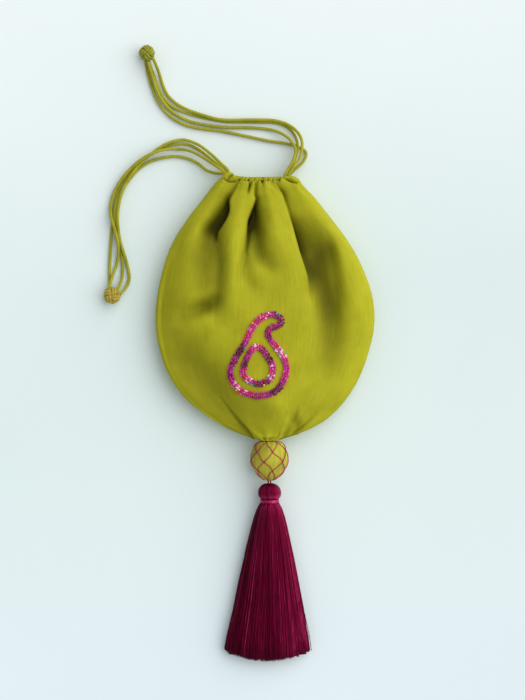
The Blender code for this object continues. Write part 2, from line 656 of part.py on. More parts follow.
FRONT = panel("front_panel", FRONT_GRID, True)
panel("back_panel", BACK_GRID, False)
casing("front_casing", True)
casing("back_casing", False)
bead()
bead_net()
tassel()
hanging_loop()
anchor_knot()

bpy.context.view_layer.update()
CLOTH_TREE = surface_tree(FRONT)
motif_band("motif_outline", MOTIF_OUTLINE, CLOTH_TREE, PINK_COLOUR)
motif_band("motif_heart", MOTIF_HEART, CLOTH_TREE, (0.24, 0.03, 0.20, 1))

LEFT_BALL = knot_ball("ball_left", LEFT_KNOT, 0.3, (0.36, 0.29, 0.045, 1))
RIGHT_BALL = knot_ball("ball_right", RIGHT_KNOT, 1.0, (0.25, 0.25, 0.03, 1))
bpy.context.view_layer.update()
for word, routes, pairs, ball in (
    ("left", LEFT_ROUTES, LEFT_PAIRS, LEFT_BALL),
    ("right", RIGHT_ROUTES, RIGHT_PAIRS, RIGHT_BALL),
):
    tree = surface_tree(ball)
    laid = []
    strands = {}
    for place in ("lowest", "second", "third", "upper"):
        strands[place] = laid_strand(routes[place], laid)
    for outer, front, back in pairs:
        line = drawstring(strands[front], strands[back], word == "right", outer)
        line = cut_at_ball(cut_at_ball(line, tree)[::-1], tree)
        tube(f"cord_{word}_{'outer' if outer else 'inner'}", thin_out(line), CORD_RADIUS, CORD_COLOUR)
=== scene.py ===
"""A drawstring potli bag lying on its back on a pale surface, seen from straight above."""

import math

import bpy
import numpy as np
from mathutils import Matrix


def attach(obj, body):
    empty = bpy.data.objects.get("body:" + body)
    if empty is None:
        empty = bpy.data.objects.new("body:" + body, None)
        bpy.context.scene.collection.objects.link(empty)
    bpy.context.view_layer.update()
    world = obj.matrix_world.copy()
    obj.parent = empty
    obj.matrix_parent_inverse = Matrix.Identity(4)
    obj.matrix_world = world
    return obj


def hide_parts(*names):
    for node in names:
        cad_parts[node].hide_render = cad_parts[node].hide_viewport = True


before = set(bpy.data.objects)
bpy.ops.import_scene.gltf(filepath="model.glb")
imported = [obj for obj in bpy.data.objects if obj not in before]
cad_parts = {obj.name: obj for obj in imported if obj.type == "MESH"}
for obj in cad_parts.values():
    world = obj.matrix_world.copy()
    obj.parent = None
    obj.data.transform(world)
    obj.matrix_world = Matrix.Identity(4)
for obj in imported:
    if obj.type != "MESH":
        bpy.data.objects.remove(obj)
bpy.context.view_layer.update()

MM = 0.001

# What the camera takes in, its height over the bag's seam, what it looks at and how far the surface goes
VIEW_WIDTH = 0.39375
VIEW_HEIGHT = 1.5
VIEW_MIDDLE = (-0.0019, -0.030)
SURFACE_REACH = 6.0

# The bag's cloth, in metres unless a list says otherwise
CLOTH = 0.0007
FLAT_WIDTH, FLAT_LENGTH = 0.190, 0.225
SEAM_GAP = 0.0003
LIP = 0.0010
SEAM_NECK, SEAM_BELLY, SEAM_HEM = 0.0110, 0.0120, 0.0143
FRONT_RISE_NECK, FRONT_RISE_BELLY, FRONT_RISE_HEM = 0.0102, 0.0175, 0.0050
BACK_DROP_NECK, BACK_DROP_BELLY, BACK_DROP_HEM = 0.0098, 0.0126, 0.0050
OUTLINE = (
    (98.3, -34.2, 25.6), (93, -39.3, 29), (84, -46, 37.5), (70, -57, 48.5), (52, -68.5, 62),
    (34, -75.5, 72), (12, -80.5, 80), (-10, -82, 82), (-32, -78.5, 77.5), (-52, -70.5, 70), (-68, -58, 60),
    (-80, -42.6, 48.5), (-86.2, -32.4, 39.3), (-90.8, -22.2, 30), (-93.2, -15.6, 22.4), (-95, -10.8, 15.6),
    (-96.6, -7.4, 11.6), (-97.8, -3.4, 7.8),
)

# Casings and drawstrings
CORD_RADIUS = 0.00115
CORD_PITCH = 0.0026
CASING_WALL = 0.0005
CASING_BORE = 0.0012
CASING_HALF = CORD_PITCH / 2 + CORD_RADIUS + 0.0003 + CASING_WALL
PUCKERS = (
    (-22.2, 0.6), (-19.1, 3.0), (-17.3, 0.5), (-15.2, 0.9), (-12.3, 3.0), (-10.2, 0.5), (-8.1, 1.0),
    (-6.6, 0.4), (-4.9, 0.7), (-2.2, 4.4), (0.1, 0.4), (1.8, 1.4), (3.2, 0.5), (5.2, 1.1), (6.2, 0.4),
    (8.2, 1.0), (10.4, 3.0), (12.4, 0.6),
)
CASING_LINE = ((-23, 96.9, 5.8), (-15, 96.3, 7.2), (-5, 95.8, 7.8), (5, 96.0, 7.3), (12, 96.6, 6.3))
PAST_RIGHT_END = 0.0041
TIGHT_BEND = 0.0032
LEFT_KNOT = (-115.2, 11.2, 6.4)
RIGHT_KNOT = (-88.9, 193.5, 6.4)
# How near the middle of its ball a cord ends
TUCKED_IN = 0.0050
# A ball knot of plain size: where its straps lie, how far they rise and dip, and the strands in each strap
STRAP_REACH = 0.00455
STRAP_LIFT = 0.00072
STRAND_RADIUS = 0.00088
STRAND_APART = 0.33

# Bead and tassel
AXIS_X = 0.0033
AXIS_Z = 0.0143
BEAD_TOP = -0.0972
BEAD_PROFILE = (
    (0, 2.6), (0.8, 4.4), (1.7, 8.4), (4.1, 11.5), (9.1, 13.5), (14.1, 14.4), (19.2, 13.6), (24.2, 10.8),
    (26.7, 8.8), (29.2, 5.8), (30.5, 3.3), (31.0, 2.4),
)
# Where along the bead its silk cover starts and ends, the cover's bore and how deep it lies under the net
COVER_ENDS = (0.0008, 0.0306)
COVER_BORE = 0.0022
COVER_SUNK = 0.00062
NET_ENDS = (0.0012, 0.0300)
NET_RADIUS = 0.00033
KNOT_HALF, KNOT_RADIUS = 0.00042, 0.00056
# Sections of the tassel in millimetres: y, the middle's x and z, and the half width and half height
TASSEL_RINGS = (
    (-130.3, 3.3, 12.1, 6.2, 6.0), (-137.0, 3.4, 11.6, 8.7, 8.2), (-142.4, 3.5, 10.6, 6.8, 6.0),
    (-144.9, 3.5, 10.1, 6.9, 6.2), (-148.4, 3.4, 9.5, 9.2, 7.4), (-151.6, 3.4, 9.0, 10.5, 7.6),
    (-158, 3.3, 8.4, 12.5, 7.8), (-173, 3.1, 7.8, 16.1, 7.6), (-188, 3.0, 7.5, 19.4, 7.4),
    (-205, 2.9, 7.2, 23.0, 7.1), (-222, 2.6, 6.9, 26.3, 6.8), (-240, 2.0, 6.5, 30.0, 6.4),
    (-252, 1.8, 6.0, 32.2, 5.8), (-262, 1.8, 5.6, 33.0, 5.4),
)
SKIRT_THREADS = 1500
SKIRT_TOP = -0.1446
SKIRT_END = -0.2630
BINDING_TOP = -0.1427
NECK = (0.0035, 0.0103, 0.0067, 0.0064)
# The head's threads and the core under them, as (y, reach) in millimetres, and how flat the head is
HEAD_THREADS = 190
HEAD_TOP = -0.1303
HEAD_FLAT = 0.95
HEAD_PROFILE = (
    (-132.8, 1.0), (-130.6, 2.0), (-130.3, 3.2), (-130.7, 4.3), (-131.9, 6.2), (-133.8, 7.7),
    (-137.2, 8.5), (-140.0, 7.9), (-141.7, 6.6), (-145.0, 6.2),
)
HEAD_CORE = (
    (-132.9, 0.9), (-130.8, 1.9), (-130.5, 3.1), (-130.9, 4.2), (-132.1, 6.1), (-134.0, 7.6),
    (-137.2, 8.4), (-140.0, 7.8), (-141.8, 6.5), (-145.0, 6.0),
)

# Drawstring routes from ball to casing, in millimetres: (x, y) where a strand lies at its usual height, and
# (x, y, height) where it is held higher. A strand that crosses another one is lifted over it by laid_heights
LAID_HEIGHT = 2
RIGHT_ROUTES = {
    "upper": (
        (-85.5, 192, 9), (-81, 182, 3), (-76, 167), (-70.5, 159), (-60, 152), (-46.5, 147), (-32, 143.5),
        (-10, 143.5), (7, 143), (18, 139.5, 4), (25.5, 132.5, 7), (28, 124, 10), (26, 114, 13.2),
        (21.4, 107, 15.5),
    ),
    "second": (
        (-88.5, 190.5), (-85, 180), (-79, 164.5), (-71.5, 155), (-60, 149.2), (-45, 145), (-29, 142.4),
        (-8, 142), (8, 141.4), (18, 137.4), (23.4, 130), (24.4, 121, 3), (22, 112.8, 5), (18.2, 106, 6),
    ),
    "third": (
        (-88, 186.5), (-84.6, 175), (-79, 160.6), (-69.4, 149.4), (-57, 142.8), (-42.5, 139.6), (-28, 138),
        (-12, 137.8), (1, 136.8), (11, 134, 4), (19, 128, 7.5), (23, 120, 11), (21, 112, 14),
        (17.8, 106, 15.5),
    ),
    "lowest": (
        (-90.4, 189.5, 4), (-89.6, 184), (-86.4, 172), (-80.6, 157.4), (-71, 146), (-59, 139.6),
        (-47, 137), (-33, 135.2), (-14, 131.4), (3, 127.8), (16, 125.8), (25, 123.5), (31, 119),
        (29, 112.5, 3.4), (23, 106.5, 5.4),
    ),
}
LEFT_ROUTES = {
    "upper": (
        (-117.5, 16, 8), (-115.5, 24), (-111.5, 37), (-110.5, 49), (-113, 60), (-116.2, 72), (-115.6, 84),
        (-110, 96), (-101.5, 106.5), (-91, 114.6), (-79, 120), (-67, 121.8), (-56, 119.8, 5),
        (-46, 114.2, 10), (-36, 107.5, 14.5), (-31.2, 104, 16.5),
    ),
    "second": (
        (-112.4, 13.8, 7), (-110.3, 17.4, 5), (-108, 24), (-107.5, 34), (-109, 45), (-112, 57),
        (-113.4, 70), (-111.6, 82), (-105.6, 94), (-97.5, 104.6), (-88, 111.6), (-77, 115.2),
        (-66.5, 116.2), (-57.5, 114.2), (-50.5, 110.6, 2.5), (-44, 105.6, 3.4), (-37, 103.4, 4.2),
        (-32, 103.3, 4.4),
    ),
    "third": (
        (-109, 12, 6), (-104, 19), (-102.5, 26), (-105, 38), (-109.6, 54), (-111, 70), (-109, 84),
        (-104, 96.6), (-96.5, 107.6), (-87, 116.6), (-77, 123.8), (-68, 127.6), (-60, 128.4, 3),
        (-50, 124.4, 6), (-41, 117.4, 10), (-33, 109.8, 14.5), (-28.6, 105.5, 17),
    ),
    "lowest": (
        (-116.4, 15.6, 4), (-117.2, 21), (-117.3, 31), (-116.8, 43), (-116, 56), (-114.8, 71),
        (-112.8, 84), (-107.4, 96.4), (-99, 107.2), (-88.6, 116), (-77.4, 122.4), (-67, 125.4), (-58, 125),
        (-49, 120.6), (-38.5, 112.6, 2.6), (-31.5, 107, 3.8), (-28.4, 104.6, 4.4),
    ),
}
LEFT_PAIRS = ((True, "upper", "second"), (False, "third", "lowest"))
RIGHT_PAIRS = ((True, "upper", "lowest"), (False, "third", "second"))

# Creases of the front panel in millimetres: (x, y, depth) along the crease, the width of its soft pocket, the
# width of its sharp side, the side the pocket lies on (1 for the right and -1 for the left) and how far the
# sharp side rolls over the pocket
# A crease also darkens the cloth by its depth as painted shade, the more so where its pocket is narrow
CREASES = (
    (((-20.7, 94.3, 2), (-25, 86.6, 4.5), (-27.2, 81.8, 9), (-26.9, 75, 14), (-28.4, 69.4, 14),
      (-32.2, 63.2, 11.5), (-35.6, 58.5, 8), (-37, 52, 2)), 13, 1.3, -1, 2.0),
    (((-35, 62, 3), (-36, 52, 7), (-34.6, 32, 6.5), (-36.2, 8, 4.5), (-38, -6, 0.6)), 14, 5.5, -1, 0),
    (((-10.8, 95.6, 3.5), (-12, 90.5, 3.4), (-12.9, 86.6, 0.6)), 1.5, 0.9, 1, 0.3),
    (((-6.7, 95, 2.5), (-7.2, 85.6, 4.5), (-6.2, 82.8, 6), (-7.7, 78, 9), (-10, 71.8, 14),
      (-12.2, 66.5, 16), (-12.7, 60, 12), (-13.3, 50, 5), (-14.4, 42, 0.8)), 10, 1.2, 1, 1.6),
    (((-12.6, 59, 1), (-13.4, 50, 4), (-14.8, 40, 5), (-17, 30, 2), (-20, 22, 0.4)), 10, 3.6, 1, 0),
    (((4.3, 95.2, 1.5), (8.1, 93.3, 2), (11, 90.4, 2.6), (13.4, 86.6, 3.4), (15.3, 80.9, 3.2),
      (18.2, 72.2, 3.6), (21, 63.2, 8.4), (23.4, 54.1, 11), (27, 41.2, 11.5), (32, 26.5, 8.5),
      (33.6, 18, 3.5), (34.4, 8, 0.6)), 17, 1.3, 1, 1.6),
    (((45.5, 53, 0.6), (48, 45, 4), (50, 34, 4), (52, 20, 2.6), (53, 6, 1.4),
      (52, -20, 0.3)), 13, 5, -1, 0),
    (((-7, 83, 0.3), (-8.2, 77, 1.6), (-10.4, 71, 2.4), (-12, 65.5, 2.2),
      (-12.6, 60, 0.6)), 2.4, 0.8, 1, 0),
    (((-25.6, 83.5, 0.3), (-27.1, 80, 2), (-26.9, 75.4, 2.4), (-28, 70.5, 1.2),
      (-31, 65, 0.3)), 2.4, 0.8, -1, 0),
    (((10.5, 91, 0.3), (13.2, 87.6, 1.3), (14.6, 84, 1.2), (17.2, 76.6, 0.6), (20, 67, 0.6),
      (22.8, 57, 0.7), (27, 42, 0.5)), 1.7, 0.7, 1, 0),
    (((-66, -7, 0.6), (-56, -3, 1.6), (-47, 0, 2.2), (-40.5, 3.5, 2.2), (-37, 9, 0.6)), 11, 4, 1, 0),
    (((-34, -66, 0.4), (-27, -74.5, 1.4), (-21, -81.6, 2.8), (-14.9, -88.5, 4.4), (-11, -93.6, 4.6),
      (-9, -97, 2.5)), 7, 1.5, -1, 0.9),
    (((-6.5, -94.2, 0.3), (-2, -95.9, 0.7), (3, -96.4, 0.9), (7, -95.7, 1.1), (9.6, -94, 1.3),
      (10.8, -91.6, 0.4)), 1.8, 0.7, 1, 0),
    (((24, -74, 0.5), (21.5, -82, 1.8), (17.6, -88, 3), (14.4, -94, 3.6),
      (12.6, -97, 2.4)), 4.5, 2.2, 1, 0),
    (((38, -77, 0.4), (33, -82, 1.4), (26.5, -88, 2), (20.3, -93, 2)), 3.4, 0.9, 1, 0.3),
    (((-18.3, 99.5, 2.4), (-19.3, 97.6, 2.4), (-20.4, 95.4, 0.2)), 0.9, 0.6, 1, 0),
    (((-12, 100, 2.2), (-12.5, 97.4, 1.6), (-12.8, 96.4, 0.2)), 0.8, 0.6, -1, 0),
    (((-2.2, 99.5, 3), (-2.2, 96.4, 3), (-2.4, 94.8, 0.2)), 1.1, 0.8, 1, 0),
    (((10.6, 99.5, 2.4), (10.4, 97, 2.2), (9.6, 95.4, 0.3)), 1.0, 0.7, 1, 0),
    (((-23.2, 102.2, 1), (-24.6, 100.6, 2.4), (-26.6, 98.7, 2.2), (-28, 97, 1.2)), 1.6, 0.8, -1, 0.4),
    (((-31, 97.8, 0.8), (-28.6, 95.8, 2.2), (-25.5, 95.0, 2.2), (-22.4, 95.4, 1)), 1.3, 0.7, 1, 0.3),
    (((12.4, 98.8, 1), (15.5, 97, 2.6), (19.2, 95.1, 3.4), (22.6, 94.5, 2.8),
      (24.6, 95.4, 0.6)), 2.4, 0.7, 1, 0.4),
)
# Soft rises and hollows of the front, in millimetres: (x, y, height) along the middle, and half the width; a
# hollow is also painted darker as painted shade
SWELLS = (
    (((-14.5, 92, 1.2), (-17.5, 79, 3), (-22, 66, 3.4), (-24.8, 49, 3), (-26.3, 26, 2.2),
      (-25, 4, 1)), 7),
    (((2, 90, 1.2), (5.3, 71, 2.6), (11.3, 49, 2.6), (18, 30, 1.8), (22, 10, 0.6)), 9),
    (((26, 91, 1), (40, 71, 2.4), (56, 45, 3), (67, 12, 2.2), (69, -15, 1)), 9),
    (((-36, 86, 1.2), (-51, 60, 2.2), (-61, 36, 1.2)), 8),
    (((-48, 44, -2.2), (-49, 34, -3.2), (-49, 18, -2)), 8),
    (((-31, 72, -3), (-36, 65, -7.4), (-42, 59, -8.6), (-44, 53, -4), (-44, 46, -1.5)), 5.5),
    (((-8.5, 70, -4), (-6.5, 60, -8), (-5.5, 50, -8.2), (-4.6, 43.5, -6.8), (0, 37, -2)), 5.5),
    (((29, 60, -1), (35, 50, -4.5), (40, 42, -7), (40, 32, -7), (40.5, 22, -7), (43, 11, -5),
      (45, 0, -2)), 9),
    (((41, 28, -0.5), (45, 15, -4.5), (47, 3, -7.5), (47, -18, -7.5), (46, -34, -5), (42, -54, -1)), 10),
    (((-13, 38, -1), (-14, 26, -1.8), (-10, 17, -1.6), (-6, 14, -0.6)), 5),
    (((-60, -3, -2), (-52, 0, -5), (-44, 3, -7.2), (-39, 6, -3)), 6),
    (((-66, 34, -1.8), (-75, 8, -3.2), (-72, -18, -3.2), (-58, -36, -6), (-44, -52, -6.5),
      (-30, -70, -5.5), (-19, -84, -3.5)), 15),
    (((2, -66, 2.6), (8, -74, 4), (11, -82, 1.4)), 9),
    (((20, -80, -1.2), (23, -86, -3.4), (20, -91, -1.5)), 4),
    (((-40, 52, -1), (-43, 38, -2), (-42, 22, -1.4)), 6),
    (((-64, -18.8, 1.2), (-54.8, -15, 2.2), (-45, -9, 1.2)), 5),
    (((4.5, 93, -1.6), (7.5, 90.5, -1.8), (10.5, 87.8, -0.8)), 1.7),
    (((-4, 38, -1.6), (2.5, 32, -2.6)), 5),
    (((-20, -6, 0.8), (-10, -8, 1.2)), 12),
)
# How far in a place lies when its painted shade is darkest
PAINTED_SHADE_DEPTH = 0.0220
# How far below the mouth the cloth's rows still follow its edge, and the gathers run
MOUTH_REACH = 0.022
GATHER_REACH = 0.018
# Above this level the mouth's edge stands up as a lobe, and at this one the hem rolls out
LOBE_LEVEL = 0.0968
HEM_ROLL = -0.0950
# The cloth's edge round the mouth, as (x, y) in millimetres: it laps the casing and stands up at its two ends
MOUTH_EDGE = (
    (-60, 98.3), (-34.4, 98.3), (-32.6, 100.2), (-30, 102.2), (-27, 102.9), (-24.2, 102), (-22, 99.2),
    (-20, 96.2), (-17, 95.7), (-5, 95.5), (5, 95.6), (8.6, 96), (11, 97.6), (13.4, 99.2), (17, 99.8),
    (20.6, 99.8), (23.4, 99.2), (26, 98.2), (60, 98.3),
)

# The sewn paisley, around its own middle
MOTIF_AT = (-5, -38)
MOTIF_OUTLINE = (
    (-2, -26), (12, -23), (20, -12), (20, 0), (13, 11), (7.5, 18), (9, 24), (15, 26), (17.5, 30.5),
    (11, 34.5), (2, 32), (-5, 24), (-10, 13), (-17, 2), (-21, -10), (-15, -21),
)
MOTIF_HEART = (
    (-2, -17), (7, -15), (11, -7), (8.5, 1), (3.5, 8), (-2, 10.5), (-6.5, 6), (-10.5, -3), (-11, -11),
)
SEED_BEAD = 0.00096
YELLOW_BEAD, TURQUOISE_BEAD = 0.95, 0.99


def smooth_curve(points, step):
    """Points about a step apart on a Catmull-Rom curve through the given ones."""
    p = np.array(points, float)
    p = np.vstack((2 * p[0] - p[1], p, 2 * p[-1] - p[-2]))
    found = [p[1]]
    for a, b, c, d in zip(p, p[1:], p[2:], p[3:]):
        count = max(1, round(np.linalg.norm(c - b) / step))
        for t in np.arange(1, count + 1) / count:
            bent = (2 * a - 5 * b + 4 * c - d) * t**2 + (3 * b - a - 3 * c + d) * t**3
            found.append(0.5 * (2 * b + (c - a) * t + bent))
    return np.array(found)


def closed_curve(points, step):
    """The same round a closed route, with its last point left out."""
    wrapped = [points[-1], *points, points[0], points[1]]
    dense = smooth_curve(wrapped, step / 4)
    start = np.argmin(np.linalg.norm(dense - points[0], axis=1))
    far = start + 3 + np.argmin(np.linalg.norm(dense[start + 3:] - points[0], axis=1))
    return dense[start:far:4]


def even_points(line, count):
    """The same line with this many points, evenly apart."""
    run = np.concatenate(([0], np.cumsum(np.linalg.norm(np.diff(line, axis=0), axis=1))))
    wanted = np.linspace(0, run[-1], count)
    return np.stack([np.interp(wanted, run, along) for along in line.T], axis=1)


def ease(x):
    x = np.clip(x, 0, 1)
    return x * x * (3 - 2 * x)


def blend(y, neck, belly, hem):
    """What a measure comes to at each level, from its value at the neck, over the belly and at the hem."""
    upper = ease((y - 0.030) / 0.060)
    lower = ease((-0.055 - y) / 0.0425)
    return belly + (neck - belly) * upper + (hem - belly) * lower


# Shader helpers


def new_material(name):
    material = bpy.data.materials.new(name)
    material.use_nodes = True
    return material, material.node_tree, material.node_tree.nodes["Principled BSDF"]


def fill(tree, node, values):
    """Sets a node's inputs: a socket is linked, and anything else is a fixed value."""
    for name, value in dict(values).items():
        if isinstance(value, bpy.types.NodeSocket):
            tree.links.new(value, node.inputs[name])
        else:
            node.inputs[name].default_value = value


def add_node(tree, kind, values=(), **settings):
    node = tree.nodes.new(kind)
    for name, value in settings.items():
        setattr(node, name, value)
    fill(tree, node, values)
    return node


def object_place(tree):
    return add_node(tree, "ShaderNodeTexCoord").outputs["Object"]


def tone_of(tree):
    """The tone that a mesh keeps at each of its points: painted shade on the bag's cloth, painted light and
    shade mixed with random tone on the tassel's threads, random tone on other threads and the colour pick of
    each seed bead.
    """
    return add_node(tree, "ShaderNodeAttribute", attribute_name="tone").outputs["Fac"]


def reckon(tree, operation, *values):
    """One step of shader arithmetic."""
    return add_node(tree, "ShaderNodeMath", dict(enumerate(values)), operation=operation).outputs[0]


def stretched(tree, place, scale):
    """A place squeezed along some axes, so that what is drawn at it runs out along the others."""
    return add_node(tree, "ShaderNodeMapping", {"Vector": place, "Scale": scale}).outputs[0]


def noise(tree, place, scale, detail, roughness=0.5):
    values = {"Vector": place, "Scale": scale, "Detail": detail, "Roughness": roughness}
    return add_node(tree, "ShaderNodeTexNoise", values).outputs["Fac"]


def bumped(tree, height, strength, distance):
    values = {"Height": height, "Strength": strength, "Distance": distance}
    return add_node(tree, "ShaderNodeBump", values).outputs[0]


def washed(tree, colour, wash):
    """One colour multiplied by another."""
    values = {"Factor": 1.0, "A": colour, "B": wash}
    return add_node(tree, "ShaderNodeMix", values, data_type="RGBA", blend_type="MULTIPLY").outputs["Result"]


def ramp(tree, source, stops, interpolation="LINEAR"):
    node = add_node(tree, "ShaderNodeValToRGB", {"Fac": source})
    node.color_ramp.interpolation = interpolation
    while len(node.color_ramp.elements) < len(stops):
        node.color_ramp.elements.new(0.5)
    for element, (place, colour) in zip(node.color_ramp.elements, stops):
        element.position = place
        element.color = (*colour, 1)
    return node.outputs["Color"]


def new_group(name, outputs):
    """A shader node group that takes a place and puts out these values."""
    group = bpy.data.node_groups.new(name, "ShaderNodeTree")
    group.interface.new_socket("Vector", in_out="INPUT", socket_type="NodeSocketVector")
    for output in outputs:
        group.interface.new_socket(output, in_out="OUTPUT", socket_type="NodeSocketFloat")
    return group


def woven_group():
    """Warp and weft seen close: a height for the threads, slubs drawn out along the warp and soft clouds."""
    group = new_group("woven threads", ("Height", "Slubs", "Clouds"))
    group.interface.new_socket("Pitch", in_out="INPUT", socket_type="NodeSocketFloat").default_value = 0.0005
    given = add_node(group, "NodeGroupInput").outputs
    place = given["Vector"]
    per = reckon(group, "DIVIDE", 2 * math.pi, given["Pitch"])
    scaled = add_node(group, "ShaderNodeVectorMath", {0: place, "Scale": per}, operation="SCALE")
    apart = add_node(group, "ShaderNodeSeparateXYZ", {0: scaled.outputs[0]}).outputs
    crossed = reckon(group, "MULTIPLY", reckon(group, "SINE", apart["X"]), reckon(group, "SINE", apart["Y"]))
    slubs = noise(group, stretched(group, place, (1400, 45, 45)), 1.0, 3.0, 0.6)
    clouds = noise(group, place, 55.0, 4.0, 0.55)
    height = reckon(group, "MULTIPLY_ADD", crossed, 0.35, slubs)
    add_node(group, "NodeGroupOutput", {"Height": height, "Slubs": slubs, "Clouds": clouds})
    return group


def fibre_group():
    """Fine streaks along a strand."""
    group = new_group("silk fibres", ("Streaks",))
    place = add_node(group, "NodeGroupInput").outputs["Vector"]
    streaks = noise(group, stretched(group, place, (1800, 40, 1800)), 1.0, 2.0)
    add_node(group, "NodeGroupOutput", {"Streaks": streaks})
    return group


WOVEN = woven_group()
FIBRES = fibre_group()
# Painted shade: what a place's colour is multiplied by, from the open cloth to the deepest slit
PAINTED_SHADE_TONES = (
    (0.0, (1, 1, 1)), (0.64, (0.13, 0.12, 0.01)), (0.8, (0.10, 0.09, 0.007)), (1.0, (0.015, 0.014, 0.001)),
)
BEAD_COLOURS = (
    (0.0, (0.13, 0.003, 0.05)), (0.14, (0.30, 0.008, 0.13)), (0.28, (0.50, 0.014, 0.25)),
    (0.44, (0.68, 0.03, 0.34)), (0.58, (0.80, 0.02, 0.13)), (0.70, (0.85, 0.17, 0.50)),
    (0.82, (0.90, 0.62, 0.78)), (0.93, (0.80, 0.60, 0.02)), (0.98, (0.02, 0.36, 0.40)),
)


def woven_cloth(name, dark, light, pitch, coordinates, bump, sheen):
    """Plain-woven silk with slubs drawn along the warp, soft clouding and painted shade in the hollows."""
    material, tree, shader = new_material(name)
    place = add_node(tree, "ShaderNodeTexCoord").outputs[coordinates]
    woven = add_node(tree, "ShaderNodeGroup", {"Vector": place, "Pitch": pitch}, node_tree=WOVEN).outputs
    clouds = reckon(tree, "MULTIPLY", woven["Clouds"], 0.45)
    mixed = reckon(tree, "MULTIPLY_ADD", woven["Slubs"], 0.55, clouds)
    shade = ramp(tree, mixed, ((0.36, dark), (0.64, light)))
    fill(tree, shader, {
        # The tone darkens the colour as painted shade in hollows and slits
        "Base Color": washed(tree, shade, ramp(tree, tone_of(tree), PAINTED_SHADE_TONES)),
        "Normal": bumped(tree, woven["Height"], bump, 0.0002),
        "Roughness": 0.72,
        "Sheen Weight": sheen,
        "Sheen Tint": (0.75, 0.72, 0.25, 1),
        "Specular IOR Level": 0.14,
    })
    return material


def silk_thread(name, dark, light, painted_highlight, roughness, sheen, specular=0.5):
    """Lustrous threads whose tone varies from strand to strand and, on the tassel, with painted light and
    shade; the brightest tones take a painted highlight colour.
    """
    material, tree, shader = new_material(name)
    place = object_place(tree)
    streaks = add_node(tree, "ShaderNodeGroup", {"Vector": place}, node_tree=FIBRES).outputs["Streaks"]
    mixed = reckon(tree, "MULTIPLY_ADD", streaks, 0.5, reckon(tree, "MULTIPLY", tone_of(tree), 0.5))
    fill(tree, shader, {
        # The ramp's top stop is a painted highlight colour
        "Base Color": ramp(tree, mixed, ((0.2, dark), (0.58, light), (0.76, painted_highlight))),
        "Normal": bumped(tree, streaks, 0.3, 0.0001),
        "Roughness": roughness,
        "Sheen Weight": sheen,
        "Sheen Tint": (*light, 1),
        "Specular IOR Level": specular,
        "Specular Tint": (*(c / max(light) for c in light), 1),
    })
    return material


def glass_beads(name):
    """Glass seed beads in mixed pinks, purples and silver, with the odd yellow and turquoise one."""
    material, tree, shader = new_material(name)
    fill(tree, shader, {"Base Color": ramp(tree, tone_of(tree), BEAD_COLOURS, "CONSTANT"), "Roughness": 0.18})
    return material


def wood_grain(name):
    material, tree, shader = new_material(name)
    grain = noise(tree, stretched(tree, object_place(tree), (900, 60, 900)), 1.0, 3.0)
    colour = ramp(tree, grain, ((0.3, (0.30, 0.17, 0.07)), (0.7, (0.50, 0.32, 0.15))))
    fill(tree, shader, {"Base Color": colour, "Roughness": 0.6})
    return material


BAG_CLOTH = woven_cloth("bag_cloth", (0.350, 0.340, 0.009), (0.470, 0.455, 0.016), 0.00052, "UV", 0.3, 0.03)
CORD_CLOTH = woven_cloth(
    "cord_cloth", (0.290, 0.280, 0.016), (0.430, 0.415, 0.036), 0.0004, "Object", 0.3, 0.25,
)
BEAD_CLOTH = woven_cloth("bead_cloth", (0.26, 0.25, 0.014), (0.56, 0.53, 0.050), 0.00045, "Object", 0.4, 0.08)
GOLD_STRAND = silk_thread(
    "gold_strand", (0.27, 0.205, 0.022), (0.43, 0.34, 0.06), (0.52, 0.42, 0.08), 0.45, 0.3,
)
GREEN_STRAND = silk_thread(
    "green_strand", (0.17, 0.17, 0.018), (0.28, 0.28, 0.036), (0.34, 0.34, 0.048), 0.45, 0.3,
)
WINE_SILK = silk_thread(
    "wine_silk", (0.020, 0.0001, 0.003), (0.175, 0.003, 0.032), (0.42, 0.03, 0.13), 0.40, 0.0, 0.34,
)
PINK_SILK = silk_thread(
    "pink_silk", (0.20, 0.004, 0.035), (0.38, 0.018, 0.085), (0.55, 0.06, 0.17), 0.34, 0.0,
)
NET_SILK = silk_thread("net_silk", (0.30, 0.008, 0.065), (0.44, 0.02, 0.11), (0.54, 0.03, 0.15), 0.5, 0.1)
SEED_GLASS = glass_beads("seed_glass")
BEAD_WOOD = wood_grain("bead_wood")


# Building helpers


def new_object(name, data):
    obj = bpy.data.objects.new(name, data)
    bpy.context.scene.collection.objects.link(obj)
    return obj


def dress(obj, material):
    obj.data.materials.clear()
    obj.data.materials.append(material)


def put(obj, body, slot, material, *nodes):
    """Dresses a finished piece, hangs it on its body and hides the solids it stands for."""
    dress(obj, material)
    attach(obj, body)
    if nodes:
        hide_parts(*nodes)
    return obj


def mesh_piece(name, points, faces, tones=None):
    mesh = bpy.data.meshes.new(name)
    mesh.from_pydata([tuple(p) for p in points], [], faces)
    mesh.polygons.foreach_set("use_smooth", np.ones(len(mesh.polygons), bool))
    if tones is not None:
        tone = mesh.attributes.new("tone", "FLOAT", "POINT")
        tone.data.foreach_set("value", np.full(len(points), tones, np.float32))
    mesh.update()
    return new_object(name, mesh)


def map_flat(obj, flat):
    """Keeps each point's place on the flat cloth as the piece's texture map."""
    loops = np.empty(len(obj.data.loops), np.int32)
    obj.data.loops.foreach_get("vertex_index", loops)
    obj.data.uv_layers.new(name="flat").data.foreach_set("uv", flat[loops].astype(np.float32).ravel())


def full_turn(count):
    return np.arange(count) / count * 2 * math.pi


def ring_across(x, y, z, wide, high, around):
    """A ring of points square to the bag's length."""
    turns = full_turn(around)
    return np.stack((x + wide * np.cos(turns), np.full(around, y), z + high * np.sin(turns)), axis=1)


def spokes(side, up, turns):
    return np.cos(turns)[:, None] * side + np.sin(turns)[:, None] * up


